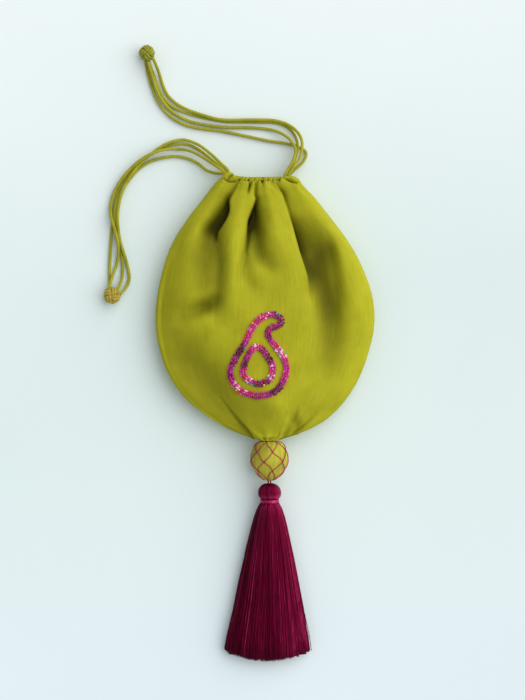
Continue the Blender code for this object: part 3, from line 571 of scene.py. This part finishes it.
def ring_faces(rings, around, closed=False, capped=True):
    faces = []
    last = rings if closed else rings - 1
    for i in range(last):
        j = (i + 1) % rings
        for k in range(around):
            m = (k + 1) % around
            faces.append((i * around + k, i * around + m, j * around + m, j * around + k))
    if capped and not closed:
        faces.append(tuple(reversed(range(around))))
        faces.append(tuple(range((rings - 1) * around, rings * around)))
    return faces


def tube_rings(line, radius, around, closed=False):
    """Rings of points about a line that don't twist."""
    line = np.asarray(line, float)
    if closed:
        ahead = np.roll(line, -1, axis=0) - np.roll(line, 1, axis=0)
    else:
        ahead = np.gradient(line, axis=0)
    ahead /= np.linalg.norm(ahead, axis=1)[:, None] + 1e-12
    normal = np.cross(ahead[0], (0.31, 0.17, 0.93))
    normal /= np.linalg.norm(normal)
    turns = full_turn(around)
    rings = []
    for middle, way in zip(line, ahead):
        normal = normal - way * (normal @ way)
        normal /= np.linalg.norm(normal)
        rings.append(middle + radius * spokes(normal, np.cross(way, normal), turns))
    return rings


def bundle_piece(name, lines, radii, around, tones, closed=False):
    """Many thin tubes in one mesh, each with its own tone or with a tone for each point of its line."""
    points, faces, shades = [], [], []
    count = 0
    for line, radius, tone in zip(lines, radii, tones):
        rings = tube_rings(line, radius, around, closed)
        found = ring_faces(len(rings), around, closed)
        faces.extend(tuple(i + count for i in face) for face in found)
        points.append(np.vstack(rings))
        shades.append(np.repeat(np.broadcast_to(tone, len(line)), around))
        count += len(points[-1])
    return mesh_piece(name, np.vstack(points), faces, np.concatenate(shades))


# Camera, light and surface


def camera():
    eye = bpy.data.cameras.new("camera")
    eye.sensor_fit = "HORIZONTAL"
    eye.sensor_width = 36
    eye.lens = 36 * VIEW_HEIGHT / VIEW_WIDTH
    obj = new_object("camera", eye)
    obj.location = (*VIEW_MIDDLE, SEAM_BELLY + VIEW_HEIGHT)
    bpy.context.scene.camera = obj


def surface_and_light():
    """The pale surface under the bag, with painted light that makes it lighter towards the top and bottom of
    the view, a soft light from the upper right and an even room.
    """
    mesh = bpy.data.meshes.new("surface")
    corners = [(x * SURFACE_REACH, y * SURFACE_REACH, 0) for x, y in ((-1, -1), (1, -1), (1, 1), (-1, 1))]
    mesh.from_pydata(corners, [], [(0, 1, 2, 3)])
    new_object("surface", mesh)
    material, tree, shader = new_material("pale_surface")
    place = object_place(tree)
    clouds = noise(tree, place, 3.0, 4.0)
    pale = ramp(tree, clouds, ((0.3, (0.745, 0.860, 0.865)), (0.7, (0.790, 0.895, 0.895))))
    # Painted light: the surface is lighter towards the top of the view, and a little lighter and bluer
    # towards the bottom, than in the middle
    level = add_node(tree, "ShaderNodeSeparateXYZ", {0: place}).outputs["Y"]
    along = add_node(tree, "ShaderNodeMapRange", {"Value": level, "From Min": -0.30, "From Max": 0.24})
    painted_light_gradient = ramp(tree, along.outputs[0], (
        (0.0, (1.02, 1.01, 1.07)), (0.35, (1, 1, 1)), (0.6, (1, 1, 1)), (1.0, (1.14, 1.08, 1.09)),
    ))
    fill(tree, shader, {"Base Color": washed(tree, pale, painted_light_gradient), "Roughness": 0.9, "Specular IOR Level": 0.1})
    mesh.materials.append(material)

    sun = bpy.data.lights.new("window", "SUN")
    sun.energy = 2.7
    sun.angle = math.radians(90)
    sun.color = (1.0, 0.985, 0.95)
    new_object("window", sun).rotation_euler = (math.radians(-22), math.radians(51), 0)

    world = bpy.data.worlds.new("room")
    world.use_nodes = True
    tree = world.node_tree
    fill(tree, tree.nodes["Background"], {"Color": (0.95, 0.98, 1.0, 1), "Strength": 0.50})
    bpy.context.scene.world = world
    bpy.context.scene.view_settings.view_transform = "Standard"


# Drawstrings


def casing_frames(front, steps):
    """The middle line of a casing with the directions across it."""
    line = even_points(smooth_curve(CASING_LINE, 1.0), steps + 1) * MM
    line[:, 2] = SEAM_NECK + (line[:, 2] if front else -line[:, 2])
    ahead = np.gradient(line, axis=0)
    side = np.cross((0, 0, 1), ahead)
    side /= np.linalg.norm(side, axis=1)[:, None]
    up = np.cross(ahead, side)
    up /= np.linalg.norm(up, axis=1)[:, None]
    return line, side, up


def laid_heights(line, below):
    """Heights at which a cord lies on the surface and on the cords already laid there, with no steep step."""
    clear = 2 * CORD_RADIUS + 0.0003
    height = np.maximum(line[:, 2], CORD_RADIUS + 0.0001)
    for other in below:
        away = np.hypot(line[:, None, 0] - other[None, :, 0], line[:, None, 1] - other[None, :, 1])
        lift = np.sqrt(np.clip((1.08 * clear) ** 2 - away**2, 0, None)) * 1.12
        height = np.maximum(height, np.where(lift > 0, other[None, :, 2] + lift, 0).max(axis=1))
    run = np.concatenate(([0], np.cumsum(np.hypot(*np.diff(line[:, :2], axis=0).T))))
    slope = height[None, :] - 0.38 * np.abs(run[:, None] - run[None, :])
    return slope.max(axis=1)


def laid_strand(route, below):
    line = smooth_curve([(*point, LAID_HEIGHT)[:3] for point in route], 1.0) * MM
    line[:, 2] = laid_heights(line, below)
    below.append(line)
    return line


def corner_points(mouth, sign, outer):
    radius = TIGHT_BEND + (CORD_PITCH if outer else 0)
    turns = np.radians((90, 60, 30))
    return [mouth + np.array((sign * radius * math.sin(a), radius * (1 - math.cos(a)), 0)) for a in turns]


def drawstring(front_strand, back_strand, leaves_right, outer):
    """One cord: in through the front casing, round its far end and back through the other casing."""
    sign = 1 if leaves_right else -1
    row = CORD_PITCH / 2 * (-1 if outer else 1)
    layer = CORD_PITCH / 2 * (-1 if leaves_right else 1)
    middle, side, up = casing_frames(True, 14)
    front = middle + side * row + up * layer
    middle, side, up = casing_frames(False, 14)
    back = middle + side * row - up * layer
    if leaves_right:
        front, back = front[::-1], back[::-1]
    radius = (front[-1, 2] - back[-1, 2]) / 2
    past = 0 if leaves_right else PAST_RIGHT_END
    centre = (front[-1] + back[-1]) / 2 - np.array((sign * past, 0, 0))
    turns = np.linspace(math.pi / 2, -math.pi / 2, 9)
    bend = [centre + np.array((-sign * radius * math.cos(a), 0, radius * math.sin(a))) for a in turns]
    way_in = np.vstack((front_strand, corner_points(front[0], sign, outer), front))
    way_out = np.vstack((back_strand, corner_points(back[0], sign, outer), back))
    return smooth_curve(np.vstack((way_in, bend, way_out[::-1])) / MM, 1.4) * MM


def cord_piece(name, line):
    curve = bpy.data.curves.new(name, "CURVE")
    curve.dimensions = "3D"
    curve.bevel_depth = CORD_RADIUS
    curve.bevel_resolution = 4
    curve.use_fill_caps = True
    spline = curve.splines.new("POLY")
    spline.points.add(len(line) - 1)
    for spot, point in zip(spline.points, line):
        spot.co = (*point, 1)
    spline.use_smooth = True
    return new_object(name, curve)


def drawstrings():
    """Two doubled cords to each side, from ball to casing and back."""
    for word, routes, pairs, knot in (
        ("left", LEFT_ROUTES, LEFT_PAIRS, LEFT_KNOT),
        ("right", RIGHT_ROUTES, RIGHT_PAIRS, RIGHT_KNOT),
    ):
        laid = []
        order = ("lowest", "second", "third", "upper")
        strands = {place: laid_strand(routes[place], laid) for place in order}
        ball = np.array(knot) * MM
        for outer, front, back in pairs:
            line = drawstring(strands[front], strands[back], word == "right", outer)
            clear = np.linalg.norm(line - ball, axis=1) > TUCKED_IN
            line = line[clear.argmax():len(line) - clear[::-1].argmax()]
            which = "outer" if outer else "inner"
            piece = cord_piece(f"{word}_drawstring_{which}", line)
            put(piece, "bag", "cord", CORD_CLOTH, f"cord_{word}_{which}")


def woven_ball(name, knot, size, spin, material, slot, node):
    """A ball of three leads and four bights, each strap three strands wide, woven over and under."""
    t = 3 * full_turn(150)
    latitude = 1.02 * np.cos(4 * t / 3)
    radius = size * (STRAP_REACH + STRAP_LIFT * np.sin(8 * t / 3))
    flat = np.cos(latitude)
    way = np.stack((flat * np.cos(t + spin), flat * np.sin(t + spin), np.sin(latitude)), axis=1)
    along = np.roll(way, -1, axis=0) - np.roll(way, 1, axis=0)
    along /= np.linalg.norm(along, axis=1)[:, None]
    across = np.cross(way, along)
    lines = []
    for lane in (-1, 0, 1):
        turned = way * math.cos(lane * STRAND_APART) + across * math.sin(lane * STRAND_APART)
        lines.append(np.array(knot) * MM + turned * radius[:, None])
    ball = bundle_piece(name, lines, [STRAND_RADIUS * size] * 3, 8, (0.25, 0.8, 0.5), closed=True)
    put(ball, "bag", slot, material, node)


# Bag


def outline_at(share):
    line = smooth_curve(OUTLINE, 1.0) * MM
    run = np.concatenate(([0], np.cumsum(np.linalg.norm(np.diff(line[:, :2], axis=0), axis=1))))
    return [np.interp(share, run / run[-1], line[:, k]) for k in range(3)]


def nearest_on(route, x, y):
    """For each place: how far off the route is, its third number, the place's side of it and its right."""
    line = smooth_curve(route, 2.0) * MM
    a = line[:-1, :, None, None]
    step = np.diff(line, axis=0)[:, :, None, None]
    length = np.hypot(step[:, 0], step[:, 1])
    t = np.clip(((x - a[:, 0]) * step[:, 0] + (y - a[:, 1]) * step[:, 1]) / length**2, 0, 1)
    dx = x - a[:, 0] - t * step[:, 0]
    dy = y - a[:, 1] - t * step[:, 1]
    far = np.hypot(dx, dy)
    nearest = far.argmin(axis=0)[None]
    best = np.take_along_axis(far, nearest, 0)[0]
    side = np.take_along_axis(np.sign(step[:, 0] * dy - step[:, 1] * dx), nearest, 0)[0]
    weight = np.exp((best - far) / 0.0015)
    weight /= weight.sum(axis=0)
    height = (weight * (a[:, 2] + t * step[:, 2])).sum(axis=0)
    right_x = (weight * -step[:, 1] / length).sum(axis=0)
    right_y = (weight * step[:, 0] / length).sum(axis=0)
    return best, height, side, right_x, right_y


def folded(x, y):
    """How creases and swells carry each place of the front, sideways, along and up, and how much painted
    shade it gets.
    """
    move_x, move_y, sunk, dark, rise = (np.zeros_like(x) for _ in range(5))
    for route, soft, sharp, pocket, over in CREASES:
        far, depth, side, right_x, right_y = nearest_on(route, x, y)
        share = depth / (max(point[2] for point in route) * MM)
        inside = side == pocket
        spread = np.maximum(soft * np.clip(share, 0, 1) ** 0.7, 0.6) * MM
        slope = np.exp(-((far / (sharp * MM)) ** 2))
        bowl = 0.5 * np.exp(-((far / (0.34 * spread)) ** 1.5)) + 0.5 * np.exp(-((far / spread) ** 1.7))
        sunk += depth * np.where(inside, bowl, slope)
        # A narrow crease gets extra painted shade
        dark += depth * np.where(inside, bowl, slope) * max(0, 4.5 / soft - 1)
        roll = np.where(inside, 0, over * MM * share * (1 - slope) * np.exp(-far / 0.007)) * pocket
        move_x += roll * right_x
        move_y += roll * right_y
    for route, half in SWELLS:
        far, height, *_ = nearest_on(route, x, y)
        height = height * np.exp(-((far / (half * MM)) ** 2))
        rise += np.maximum(height, 0)
        sunk -= np.minimum(height, 0)
    # What sinks comes back, with the narrow creases' extra, as painted shade
    return move_x, move_y, rise - sunk, sunk + dark


def column_places(level, left, right, columns):
    """Where columns cross each row, from -1 to 1: closer together along sharp creases and at the edges."""
    rows = []
    sharp = [np.array(route) * MM for route, *_, over in CREASES if over > 1]
    for y, low, high in zip(level, left, right):
        x = np.linspace(low, high, 800)
        edge = np.minimum(x - low, high - x)
        weight = 0.55 + 0.8 * np.exp(-edge / 0.005)
        for route in sharp:
            inside = ease((route[0, 1] + 0.008 - y) / 0.008) * ease((y - route[-1, 1] + 0.004) / 0.012)
            middle = np.interp(y, route[::-1, 1], route[::-1, 0])
            weight += 2.2 * inside * np.exp(-(((x - middle) / 0.0026) ** 2))
        run = np.concatenate(([0], np.cumsum(weight[1:] + weight[:-1])))
        rows.append(np.interp(np.linspace(0, 1, columns + 1), run / run[-1], np.linspace(-1, 1, 800)))
    return np.array(rows)


def pucker_depth(x):
    """How deep the gathers of the casing cut in at each place along it."""
    depth = np.zeros_like(x)
    for place, strength in PUCKERS:
        depth += 0.0007 * strength * np.exp(-(((x - place * MM) / (0.00036 + 0.0001 * strength)) ** 2))
    return depth


def fan_short(below):
    """How far the small gathers reach into the panel below the casing."""
    return np.exp(-((np.clip(below, 0, None) / 0.0026) ** 2))


def panel_grid(columns, rows, front):
    """A grid of warp and weft: each row's share of the length, and each place across, sideways and along."""
    dense = rows // 4
    near_mouth = np.linspace(0, 0.13, dense, endpoint=False)
    share = np.concatenate((near_mouth, np.linspace(0.13, 1, rows + 1 - dense)))
    level, left, right = outline_at(share)
    if front:
        s = column_places(level, left, right, columns)
    else:
        u = np.linspace(-1, 1, columns + 1)
        s = np.broadcast_to(0.55 * np.sin(math.pi / 2 * u) + 0.45 * u, (rows + 1, columns + 1))
    s = np.hstack((s[:, :1], s, s[:, -1:]))
    x = ((right + left) / 2)[:, None] + ((right - left) / 2)[:, None] * s
    return share, s, x, np.broadcast_to(level[:, None], s.shape)


def domed(s, y):
    """The seam's height, and how far a side stands off it: nothing at the seams and 1 in the middle."""
    power = blend(y, 7.0, 2.15, 2.0)
    return blend(y, SEAM_NECK, SEAM_BELLY, SEAM_HEM), np.sqrt(np.clip(1 - np.abs(s) ** power, 0, 1))


def front_surface(s, x, y, lip):
    """The front's places, gathered at the mouth, creased and pleated, and how much painted shade each of them
    gets.
    """
    top = y[0, 0]
    below = top - y
    edge = np.interp(x, *(smooth_curve(MOUTH_EDGE, 1.0).T * MM))
    y = y + (edge - top) * (1 - ease(below / MOUTH_REACH))
    seam, round_off = domed(s, y)
    inner = ease((1 - np.abs(s)) / 0.25)
    rim = ease((1 - np.abs(s)) / 0.06)
    lobes = ease((edge - LOBE_LEVEL) / 0.003)
    puckers = 0.4 * pucker_depth(x - (edge - y) * 0.2) * (1 - lobes) * fan_short(edge - y)
    gathers = 0.0003 * np.exp(-below / GATHER_REACH) * np.cos(31 * s + 2.2 * np.sin(4 * s)) - puckers
    hem = ease((-0.080 - y) / 0.016)
    pleats = 0.0006 * hem * np.cos(14 * s + 1)
    roll = 0.0012 * np.exp(-(((y - HEM_ROLL) / 0.0016) ** 2))
    roll += 0.0004 * ease((HEM_ROLL - 0.0016 - y) / 0.0008)
    turned = np.clip(1 - (edge - y) / 0.0019, 0, 1) ** 2 * 0.0026 * lobes
    stand = 0.0013 * lobes * np.exp(-below / 0.004)
    rise = blend(y, FRONT_RISE_NECK, FRONT_RISE_BELLY, FRONT_RISE_HEM)
    move_x, move_y, folds, dark = folded(x, y)
    x = x + rim * move_x
    y = y + rim * move_y
    z = seam + SEAM_GAP / 2 + lip + rise * round_off
    z += inner * (gathers + roll) + rim * (pleats + folds + stand - turned)
    z += (1 - lobes) * 0.0011 * ease((y - 0.088) / 0.006)
    # The casing's gathers add painted shade in their slits
    return x, y, np.maximum(z, seam + SEAM_GAP / 2 + lip * 0.4), dark + 8 * puckers


def back_surface(s, x, y, lip):
    """The back's places, gathered at the mouth and flat where the bag lies on it, with no painted shade."""
    top = y[0, 0]
    below = top - y
    ears = ease((np.abs(s) - 0.74) / 0.14)
    edge = top - (CASING_HALF * 2 - 0.0002 + 0.0012 * np.cos(1.3 * s)) * (1 - ears)
    y = y + (edge - top) * (1 - ease(below / MOUTH_REACH))
    seam, round_off = domed(s, y)
    inner = ease((1 - np.abs(s)) / 0.25)
    drop = blend(y, BACK_DROP_NECK, BACK_DROP_BELLY, BACK_DROP_HEM)
    gathers = 0.0009 * np.exp(-below / GATHER_REACH) * np.cos(26 * s + 0.9)
    z = seam - SEAM_GAP / 2 - lip - drop * round_off + inner * gathers
    return x, y, np.maximum(z, 0), np.zeros_like(y)


def panel(name, columns, rows, front):
    """One side of the bag, with its flat place kept as its texture map."""
    share, s, x, y = panel_grid(columns, rows, front)
    across = s.shape[1]
    lip = np.where(np.arange(across) % (across - 1) == 0, 0, LIP)
    x, y, z, dark = (front_surface if front else back_surface)(s, x, y, lip)
    points = np.stack((x, y, z), axis=-1)
    faces = []
    for r in range(rows):
        for c in range(across - 1):
            a = r * across + c
            quad = (a, a + across, a + across + 1, a + 1)
            faces.append(quad if front else quad[::-1])
    # The tone is the panel's painted shade, deepest in the creases
    obj = mesh_piece(name, points.reshape(-1, 3), faces, np.clip(dark / PAINTED_SHADE_DEPTH, 0, 1).ravel())
    down = np.broadcast_to(-share[:, None] * FLAT_LENGTH, s.shape)
    map_flat(obj, np.stack((s * FLAT_WIDTH / 2, down), axis=-1).reshape(-1, 2))
    thick = obj.modifiers.new("cloth", "SOLIDIFY")
    thick.thickness = CLOTH
    thick.offset = -1
    return obj, points


def casing(name, front, node):
    """The folded hem over the cords, bunched into soft puckers, with painted shade in the slits between them
    and in its bore.
    """
    around = 30
    turns = full_turn(around)
    square = (np.abs(np.cos(turns)) ** 3.2 + np.abs(np.sin(turns)) ** 3.2) ** (-1 / 3.2)
    steps = 320
    outer, inner, dark = [], [], []
    for i, (middle, side, up) in enumerate(zip(*casing_frames(front, steps))):
        t = i / steps
        slant = 0.0005 + 0.0008 * ease((-middle[0] - 0.003) / 0.012)
        pucker = pucker_depth(middle[0] - slant * np.cos(turns))
        open_side = 0.3 + 0.7 * ease((0.93 - np.cos(turns)) / 0.3)
        reach = CASING_HALF + 0.0001 + 0.0002 * np.cos(9 * t + 2 * turns)
        reach -= np.minimum(pucker, 0.0011) * open_side
        ring = middle + spokes(side, up, turns) * (square * reach)[:, None]
        ring[:, 2] = np.maximum(ring[:, 2], 0.0001)
        outer.append(ring)
        # Painted shade in the slits, on the casing's open side
        dark.append(np.clip(pucker / 0.0021, 0, 1) * open_side)
        if i % 20 == 0:
            inner.append(middle + spokes(side, up, turns) * CASING_BORE)
    rings = outer + inner[::-1]
    # The bore inside is painted in full shade
    tones = np.concatenate((np.array(dark).ravel(), np.ones(around * len(inner))))
    obj = mesh_piece(name, np.vstack(rings), ring_faces(len(rings), around, closed=True), tones)
    index = np.arange(around * len(rings))
    map_flat(obj, np.stack((index // around * 0.0003, index % around * 0.0007), axis=1))
    return put(obj, "bag", "bag_cloth", BAG_CLOTH, node)


def bag():
    front, grid = panel("front_cloth", 240, 200, True)
    put(front, "bag", "bag_cloth", BAG_CLOTH, "front_panel")
    back, _ = panel("back_cloth", 110, 110, False)
    put(back, "bag", "bag_cloth", BAG_CLOTH, "back_panel")
    front_hem = casing("front_ruching", True, "front_casing")
    back_hem = casing("back_ruching", False, "back_casing")
    return grid


# Bead and tassel


def bead_radius(depth):
    profile = smooth_curve(BEAD_PROFILE, 0.5) * MM
    return np.interp(depth, profile[:, 0], profile[:, 1])


def bead_spot(depth, turn, lift):
    reach = bead_radius(depth) + lift
    return np.array((AXIS_X + reach * math.cos(turn), BEAD_TOP - depth, AXIS_Z + reach * math.sin(turn)))


def bead_cover():
    """The silk over the bead, gathered at its ends."""
    around, outside = 72, 60
    turns = full_turn(around)
    top, end = COVER_ENDS
    depths = np.concatenate((np.linspace(top, end, outside), np.linspace(end - 0.0018, top + 0.0016, 8)))
    rings = []
    for i, depth in enumerate(depths):
        reach = COVER_BORE
        if i < outside:
            pole = min(depth - top, end - depth)
            pleat = 0.00022 * math.exp(-pole / 0.0035) * np.cos(18 * turns)
            reach = max(COVER_BORE + 0.0002, bead_radius(depth) - COVER_SUNK) + pleat
        rings.append(ring_across(AXIS_X, BEAD_TOP - depth, AXIS_Z, reach, reach, around))
    cover = mesh_piece("silk_cover", np.vstack(rings), ring_faces(len(rings), around, closed=True))
    put(cover, "bead", "bead_silk", BEAD_CLOTH, "bead_cover")


def bead_net():
    """The net of threads over the bead: six run one way round it, six the other, knotted where they cross."""
    cells, rows = 6, 5
    per_row = 14
    low, high = NET_ENDS
    lines, tones, radii = [], [], []
    for hand in (1, -1):
        for cell in range(cells):
            line = []
            for step in range((rows - 1) * per_row + 1):
                row = step / per_row
                wander = 0.05 * math.sin(2.6 * row + 2.3 * (cell if hand > 0 else cell + row))
                wander *= ease(row) * ease(rows - 1 - row)
                turn = 0.83 + 2 * math.pi * cell / cells + hand * (math.pi / cells) * row + wander
                weave = 0.00012 * math.cos(math.pi * row) * hand
                line.append(bead_spot(low + (high - low) * row / (rows - 1), turn, -0.00030 + weave))
            lines.append(line)
            tones.append(0.5 + 0.3 * math.sin(3 * cell + hand))
            radii.append(NET_RADIUS)
            if hand > 0:
                for knot in range(per_row, (rows - 1) * per_row, per_row):
                    along = np.array(line[knot + 1]) - line[knot - 1]
                    along *= KNOT_HALF / np.linalg.norm(along)
                    lines.append([line[knot] + share * along for share in (-1.2, -1, 1, 1.2)])
                    tones.append(0.1)
                    radii.append(KNOT_RADIUS)
    net = bundle_piece("thread_net", lines, radii, 6, tones)
    put(net, "bead", "pink_thread", NET_SILK, "bead_net")


def tassel_section(y):
    rings = np.array(TASSEL_RINGS) * MM
    return [np.interp(-y, -rings[:, 0], rings[:, k]) for k in range(1, 5)]


def section_line(turn, depth, levels, sway, twist):
    """A thread's way down the tassel, at its turn round the section and its share of the way out."""
    line = []
    for y in levels:
        x, z, wide, high = tassel_section(y)
        down = (levels[0] - y) / 0.12
        a = turn + twist * down
        reach = depth + 0.012 * math.sin(60 * down + 9 * turn) * down
        line.append((
            x + wide * reach * math.cos(a) + sway * down * math.sin(4 * down + 7 * turn),
            y,
            max(0.0004, z + high * reach * math.sin(a)),
        ))
    return line


def tassel_skirt(chance):
    """Silk threads that fall from the neck and fan out, round a core that fills them."""
    lines, tones = [], []
    for _ in range(SKIRT_THREADS):
        turn = chance.uniform(0, 2 * math.pi)
        depth = max(1.0 - 0.16 * abs(chance.normal()) ** 1.5, 0.3)
        side = math.cos(turn) * depth
        end = SKIRT_END + 0.0078 * side * side + chance.normal() * 0.0006
        levels = SKIRT_TOP + (end - SKIRT_TOP) * (np.arange(14) / 13) ** 1.25
        sway, twist = chance.normal(size=2) * (0.0005, 0.02)
        lines.append(section_line(turn, depth * 0.985, levels, sway, twist))
        down = (levels[0] - levels) / 0.117
        # Locks of threads lighter and darker at random, with painted light on the right side and a painted
        # highlight along the top of the skirt
        locks_and_painted_light = 0.15 * np.sin(11 * turn + 2 * math.sin(3 * turn) + 2.5 * down) + 0.28 * math.cos(turn)
        top = 0.3 * np.exp(-(down / 0.06) ** 2)
        tones.append(np.clip(0.29 + locks_and_painted_light + top + 0.22 * chance.normal(), 0, 1))
    skirt = bundle_piece("skirt_threads", lines, [0.00027] * SKIRT_THREADS, 3, tones)
    put(skirt, "tassel", "tassel_silk", WINE_SILK, "tassel_threads")

    core = []
    for y in np.linspace(-0.1440, -0.2590, 24):
        x, z, wide, high = tassel_section(y)
        ring = ring_across(x, y, z, 0.9 * wide, 0.9 * high, 40)
        ring[:, 2] = np.maximum(0.0003, ring[:, 2])
        core.append(ring)
    # The core's low tone is painted shade between the threads
    inner = mesh_piece("skirt_core", np.vstack(core), ring_faces(len(core), 40), 0.1)
    put(inner, "tassel", "tassel_silk", WINE_SILK)


def tassel_head(chance):
    """Threads doubled over the loop, round a core that fills them."""
    fine = smooth_curve(HEAD_PROFILE, 1.0)
    down = -fine[:, 0]
    # Painted light and shade down the head: a shaded top, lighter below, a painted highlight low down and a
    # painted dark groove above the binding
    painted_light = 0.12 + 0.40 * ease((down - 130.6) / 3.5) + 0.35 * np.exp(-(((down - 139.9) / 1.5) ** 2))
    painted_light -= 0.45 * ease((down - 141) / 0.8)
    lines, tones = [], []
    for i in range(HEAD_THREADS):
        turn = 2 * math.pi * (i + 0.3 * chance.normal()) / HEAD_THREADS
        a = turn + 0.05 * math.sin(3 * turn)
        line = []
        for y, reach in fine * MM:
            x, z, *_ = tassel_section(min(y, HEAD_TOP))
            line.append((x + reach * math.cos(a), y, z + HEAD_FLAT * reach * math.sin(a)))
        lines.append(line)
        # Lighter on the right side as painted light, with random tone
        tones.append(np.clip(painted_light + 0.10 * math.cos(turn) + 0.12 * chance.normal(), 0, 1))
    head = bundle_piece("head_threads", lines, [0.00024] * HEAD_THREADS, 4, tones)
    put(head, "tassel", "tassel_silk", WINE_SILK)

    rings = []
    for y, reach in np.array(HEAD_CORE) * MM:
        x, z, *_ = tassel_section(min(y, HEAD_TOP))
        rings.append(ring_across(x, y, z, reach, HEAD_FLAT * reach, 48))
    # The core's low tone is painted shade under the threads
    knob = mesh_piece("head_core", np.vstack(rings), ring_faces(len(rings), 48), 0.25)
    put(knob, "tassel", "tassel_silk", WINE_SILK)


def tassel_neck():
    """Five turns of shiny thread round the neck."""
    turns = np.linspace(0, 2 * math.pi * 5, 5 * 40)
    y = np.linspace(BINDING_TOP, SKIRT_TOP, len(turns))
    x, z, wide, high = NECK
    winding = np.stack((x + wide * np.cos(turns), y, z + high * np.sin(turns)), axis=1)
    # Painted highlight on the right of each turn
    painted_light = 0.3 + 0.65 * np.exp(-(((np.cos(turns) - 0.4) / 0.35) ** 2))
    bound = bundle_piece("neck_winding", [winding], [0.00040], 6, [painted_light])
    put(bound, "tassel", "pink_binding", PINK_SILK, "tassel_binding")


# Sewn paisley


def cloth_height(points, x, y):
    """Height of the front cloth at a place, from the nearest of its points."""
    near = np.argsort((points[:, 0] - x) ** 2 + (points[:, 1] - y) ** 2)[:3]
    return points[near, 2].mean()


def bead_tone(along, lane, seed, chance):
    """Which colour a bead gets: it drifts along the row, and an odd outer bead is yellow or turquoise."""
    tone = 0.44 + 0.27 * math.sin(3 * along + seed) + 0.12 * math.sin(8 * along)
    tone = min(max(tone + 0.12 * chance.normal(), 0.0), 0.9)
    odd = chance.random()
    if lane and odd > 0.955:
        tone = YELLOW_BEAD if odd > 0.965 else TURQUOISE_BEAD
    return tone


def seed_beads(name, route, grid, node, seed):
    """Rows of glass beads sewn side by side along a closed line, some standing on others."""
    chance = np.random.default_rng(seed)
    # Only the cloth about the paisley is searched for its height
    window = grid.reshape(-1, 3)
    window = window[(np.abs(window[:, 0] + 0.005) < 0.032) & (np.abs(window[:, 1] + 0.036) < 0.038)]
    line = closed_curve([np.array(p, float) for p in route], 0.4)
    line = np.vstack((line, line[:1])) * MM + np.array(MOTIF_AT) * MM
    run = np.linalg.norm(np.diff(line, axis=0), axis=1).sum()
    stations = even_points(line, int(run / (1.5 * SEED_BEAD)))
    template, template_faces = bead_template()
    points, faces, tones = [], [], []
    count = 0
    for i in range(len(stations) - 1):
        ahead = stations[i + 1] - stations[i]
        side = np.array((-ahead[1], ahead[0])) / np.linalg.norm(ahead)
        offset = 0.15 * (i % 2)
        for lane in (-0.92, 0.0, 0.92):
            spot = stations[i] + side * (lane + offset) * 2 * SEED_BEAD * 0.95
            spot = spot + chance.normal(size=2) * 0.00018
            ground = cloth_height(window, *spot)
            lift = SEED_BEAD * (0.85 + (0.55 if lane == 0 else 0) + 0.2 * chance.random())
            size = SEED_BEAD * chance.uniform(0.85, 1.1)
            turn = random_turn(chance)
            points.append((template * size) @ turn.T + (*spot, ground + lift))
            faces.extend(tuple(k + count for k in face) for face in template_faces)
            count += len(template)
            tone = bead_tone(i / len(stations) * 2 * math.pi, lane, seed, chance)
            tones.extend([tone] * len(template))
    obj = mesh_piece(name, np.vstack(points), faces, tones)
    return put(obj, "bag", "seed_beads", SEED_GLASS, node)


def bead_template():
    """One seed bead: a short round barrel with a hole, of radius 1."""
    around, section = 9, 6
    points, faces = [], []
    for i in range(around):
        a = 2 * math.pi * i / around
        for k in range(section):
            b = 2 * math.pi * k / section
            reach = 0.56 + 0.44 * math.cos(b)
            points.append((reach * math.cos(a), reach * math.sin(a), 0.66 * math.sin(b)))
    for i in range(around):
        for k in range(section):
            j, m = (i + 1) % around, (k + 1) % section
            faces.append((i * section + k, j * section + k, j * section + m, i * section + m))
    return np.array(points), faces


def random_turn(chance):
    """A rotation matrix with the bead's hole turned anywhere."""
    axis = chance.normal(size=3)
    axis /= np.linalg.norm(axis)
    angle = chance.uniform(0, math.pi)
    k = np.array(((0, -axis[2], axis[1]), (axis[2], 0, -axis[0]), (-axis[1], axis[0], 0)))
    return np.eye(3) + math.sin(angle) * k + (1 - math.cos(angle)) * (k @ k)


def dress_solids():
    """The small hidden pieces keep their solids and get their finish."""
    for node, material in (("hanging_loop", NET_SILK), ("anchor_knot", NET_SILK), ("bead_core", BEAD_WOOD)):
        dress(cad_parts[node], material)


camera()
drawstrings()
surface_and_light()
woven_ball("gold_ball", LEFT_KNOT, 1.14, 0.3, GOLD_STRAND, "gold_braid", "ball_left")
woven_ball("green_ball", RIGHT_KNOT, 1.05, 1.0, GREEN_STRAND, "green_braid", "ball_right")
cloth = bag()
bead_cover()
bead_net()
chance = np.random.default_rng(7)
tassel_skirt(chance)
tassel_head(chance)
tassel_neck()
seed_beads("paisley_outline", MOTIF_OUTLINE, cloth, "motif_outline", 3)
seed_beads("paisley_heart", MOTIF_HEART, cloth, "motif_heart", 4)
dress_solids()
